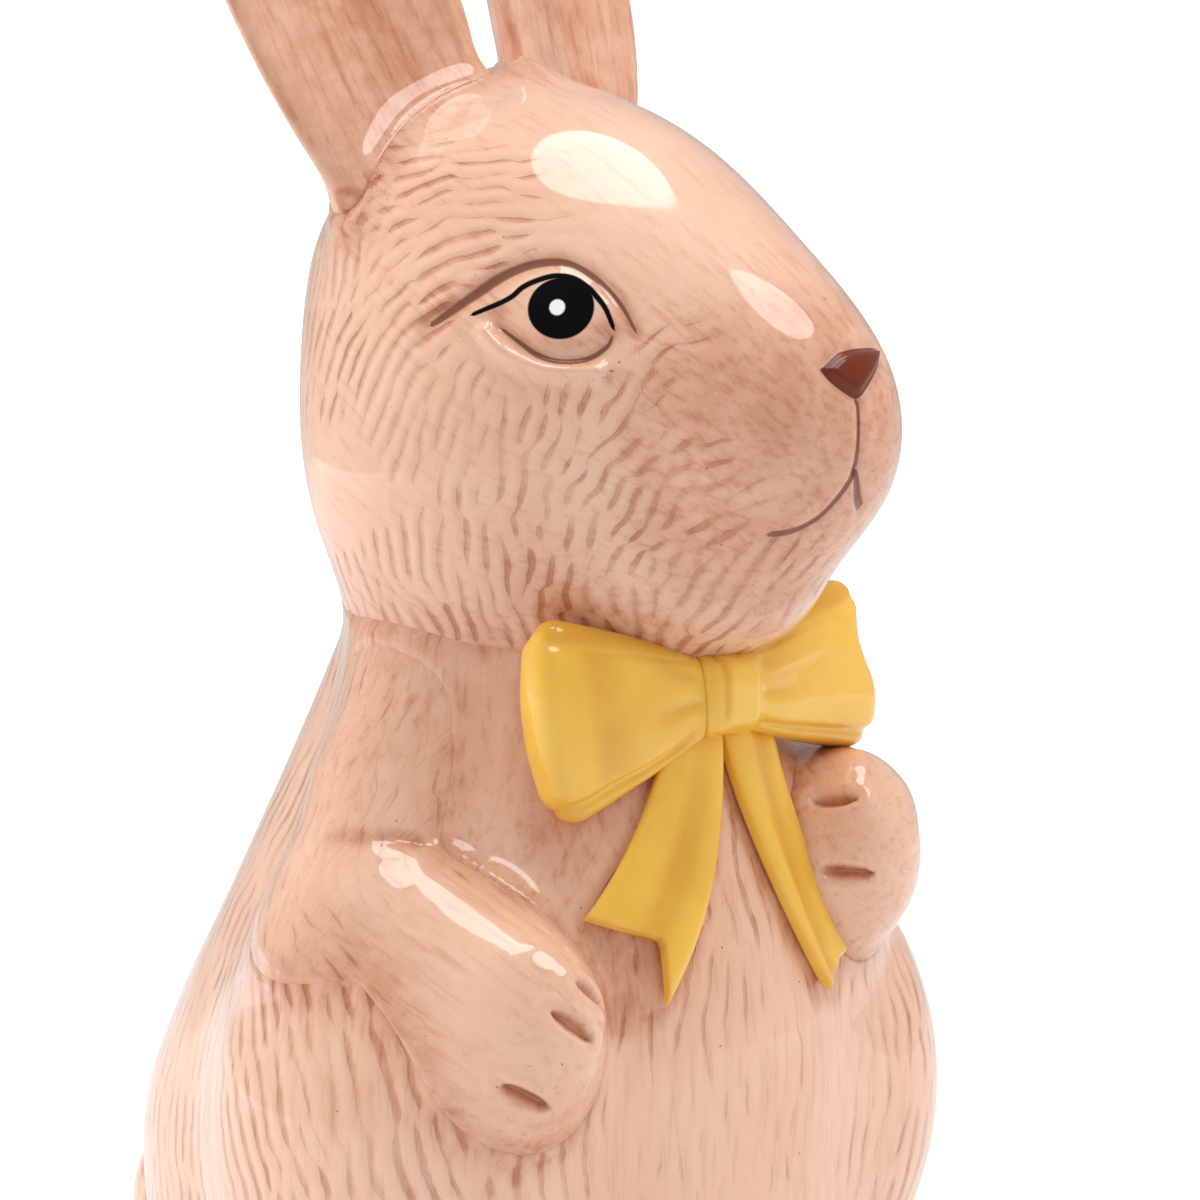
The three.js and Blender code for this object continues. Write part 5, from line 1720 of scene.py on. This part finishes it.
def build_studio(context):
    """White floor, white surroundings, soft boxes overhead, a panel on each side and the photo's camera."""
    scene = context.scene
    studio = scene.rabbit_studio
    lay_floor(scene)
    scene.world = white_tent(studio)
    for name, place, size, turn in SOFT_BOXES:
        soft_box(context, name, place, (0, 0, math.radians(turn)), size, studio.overhead)
    radiances = {"left panel": studio.left, "right panel": studio.right}
    for name, turn, rise, size in SIDE_PANELS:
        way, angle = direction_to(turn, rise)
        place = np.array(CAMERA["target"]) + way * PANEL_DISTANCE
        soft_box(context, name, place, angle, size, radiances[name], False)
    eye = photo_camera(studio)
    scene.collection.objects.link(eye)
    scene.camera = eye
    scene.view_settings.view_transform = "Standard"


# Operators and panel
class RABBIT_OT_torso(bpy.types.Operator):
    """Make the torso and its haunches"""

    bl_idname = "rabbit.torso"
    bl_label = "Torso"
    bl_options = {"REGISTER", "UNDO"}

    def execute(self, context):
        build_torso(context)
        return {"FINISHED"}


class RABBIT_OT_head(bpy.types.Operator):
    """Make the head with its face"""

    bl_idname = "rabbit.head"
    bl_label = "Head"
    bl_options = {"REGISTER", "UNDO"}

    def execute(self, context):
        build_head(context)
        return {"FINISHED"}


class RABBIT_OT_ears(bpy.types.Operator):
    """Make both ears"""

    bl_idname = "rabbit.ears"
    bl_label = "Ears"
    bl_options = {"REGISTER", "UNDO"}

    def execute(self, context):
        build_ears(context)
        return {"FINISHED"}


class RABBIT_OT_arms(bpy.types.Operator):
    """Make both arms"""

    bl_idname = "rabbit.arms"
    bl_label = "Arms"
    bl_options = {"REGISTER", "UNDO"}

    def execute(self, context):
        build_arms(context)
        return {"FINISHED"}


class RABBIT_OT_feet_and_tail(bpy.types.Operator):
    """Make the hind feet and the tail"""

    bl_idname = "rabbit.feet_and_tail"
    bl_label = "Feet and tail"
    bl_options = {"REGISTER", "UNDO"}

    def execute(self, context):
        build_feet_and_tail(context)
        return {"FINISHED"}


class RABBIT_OT_bow(bpy.types.Operator):
    """Make the knot and both loops of the bow"""

    bl_idname = "rabbit.bow"
    bl_label = "Bow"
    bl_options = {"REGISTER", "UNDO"}

    def execute(self, context):
        build_bow(context)
        return {"FINISHED"}


class RABBIT_OT_ribbons(bpy.types.Operator):
    """Make both ribbon ends"""

    bl_idname = "rabbit.ribbons"
    bl_label = "Ribbon ends"
    bl_options = {"REGISTER", "UNDO"}

    def execute(self, context):
        build_ribbons(context)
        return {"FINISHED"}


class RABBIT_OT_studio(bpy.types.Operator):
    """Make the floor, the light and the camera"""

    bl_idname = "rabbit.studio"
    bl_label = "Studio"
    bl_options = {"REGISTER", "UNDO"}

    def execute(self, context):
        build_studio(context)
        return {"FINISHED"}


class RABBIT_PT_panel(bpy.types.Panel):
    """Lists the pieces of the rabbit and the settings"""

    bl_idname = "RABBIT_PT_panel"
    bl_label = "Ceramic rabbit"
    bl_space_type = "VIEW_3D"
    bl_region_type = "UI"
    bl_category = "Rabbit"

    def draw(self, context):
        for operator in OPERATORS:
            self.layout.operator(operator.bl_idname)
        for key in SETTINGS:
            group = getattr(context.scene, key)
            for setting in type(group).__annotations__:
                self.layout.prop(group, setting)


OPERATORS = (
    RABBIT_OT_torso,
    RABBIT_OT_head,
    RABBIT_OT_ears,
    RABBIT_OT_arms,
    RABBIT_OT_feet_and_tail,
    RABBIT_OT_bow,
    RABBIT_OT_ribbons,
    RABBIT_OT_studio,
)
SETTINGS = {"rabbit_glaze": RabbitGlaze, "rabbit_fur": RabbitFur, "rabbit_studio": RabbitStudio}


def register():
    """Makes the classes known, and hangs the settings on the scene."""
    for group in SETTINGS.values():
        bpy.utils.register_class(group)
    for operator in OPERATORS:
        bpy.utils.register_class(operator)
    bpy.utils.register_class(RABBIT_PT_panel)
    for key, group in SETTINGS.items():
        setattr(bpy.types.Scene, key, bpy.props.PointerProperty(type=group))


def unregister():
    """Takes away what register makes, in the opposite order."""
    for key in SETTINGS:
        delattr(bpy.types.Scene, key)
    bpy.utils.unregister_class(RABBIT_PT_panel)
    for operator in reversed(OPERATORS):
        bpy.utils.unregister_class(operator)
    for group in SETTINGS.values():
        bpy.utils.unregister_class(group)


def main():
    """Makes everything in order."""
    register()
    bpy.ops.rabbit.studio()
    bpy.ops.rabbit.torso()
    bpy.ops.rabbit.head()
    bpy.ops.rabbit.ears()
    bpy.ops.rabbit.arms()
    bpy.ops.rabbit.feet_and_tail()
    bpy.ops.rabbit.bow()
    bpy.ops.rabbit.ribbons()


if __name__ == "__main__":
    main()
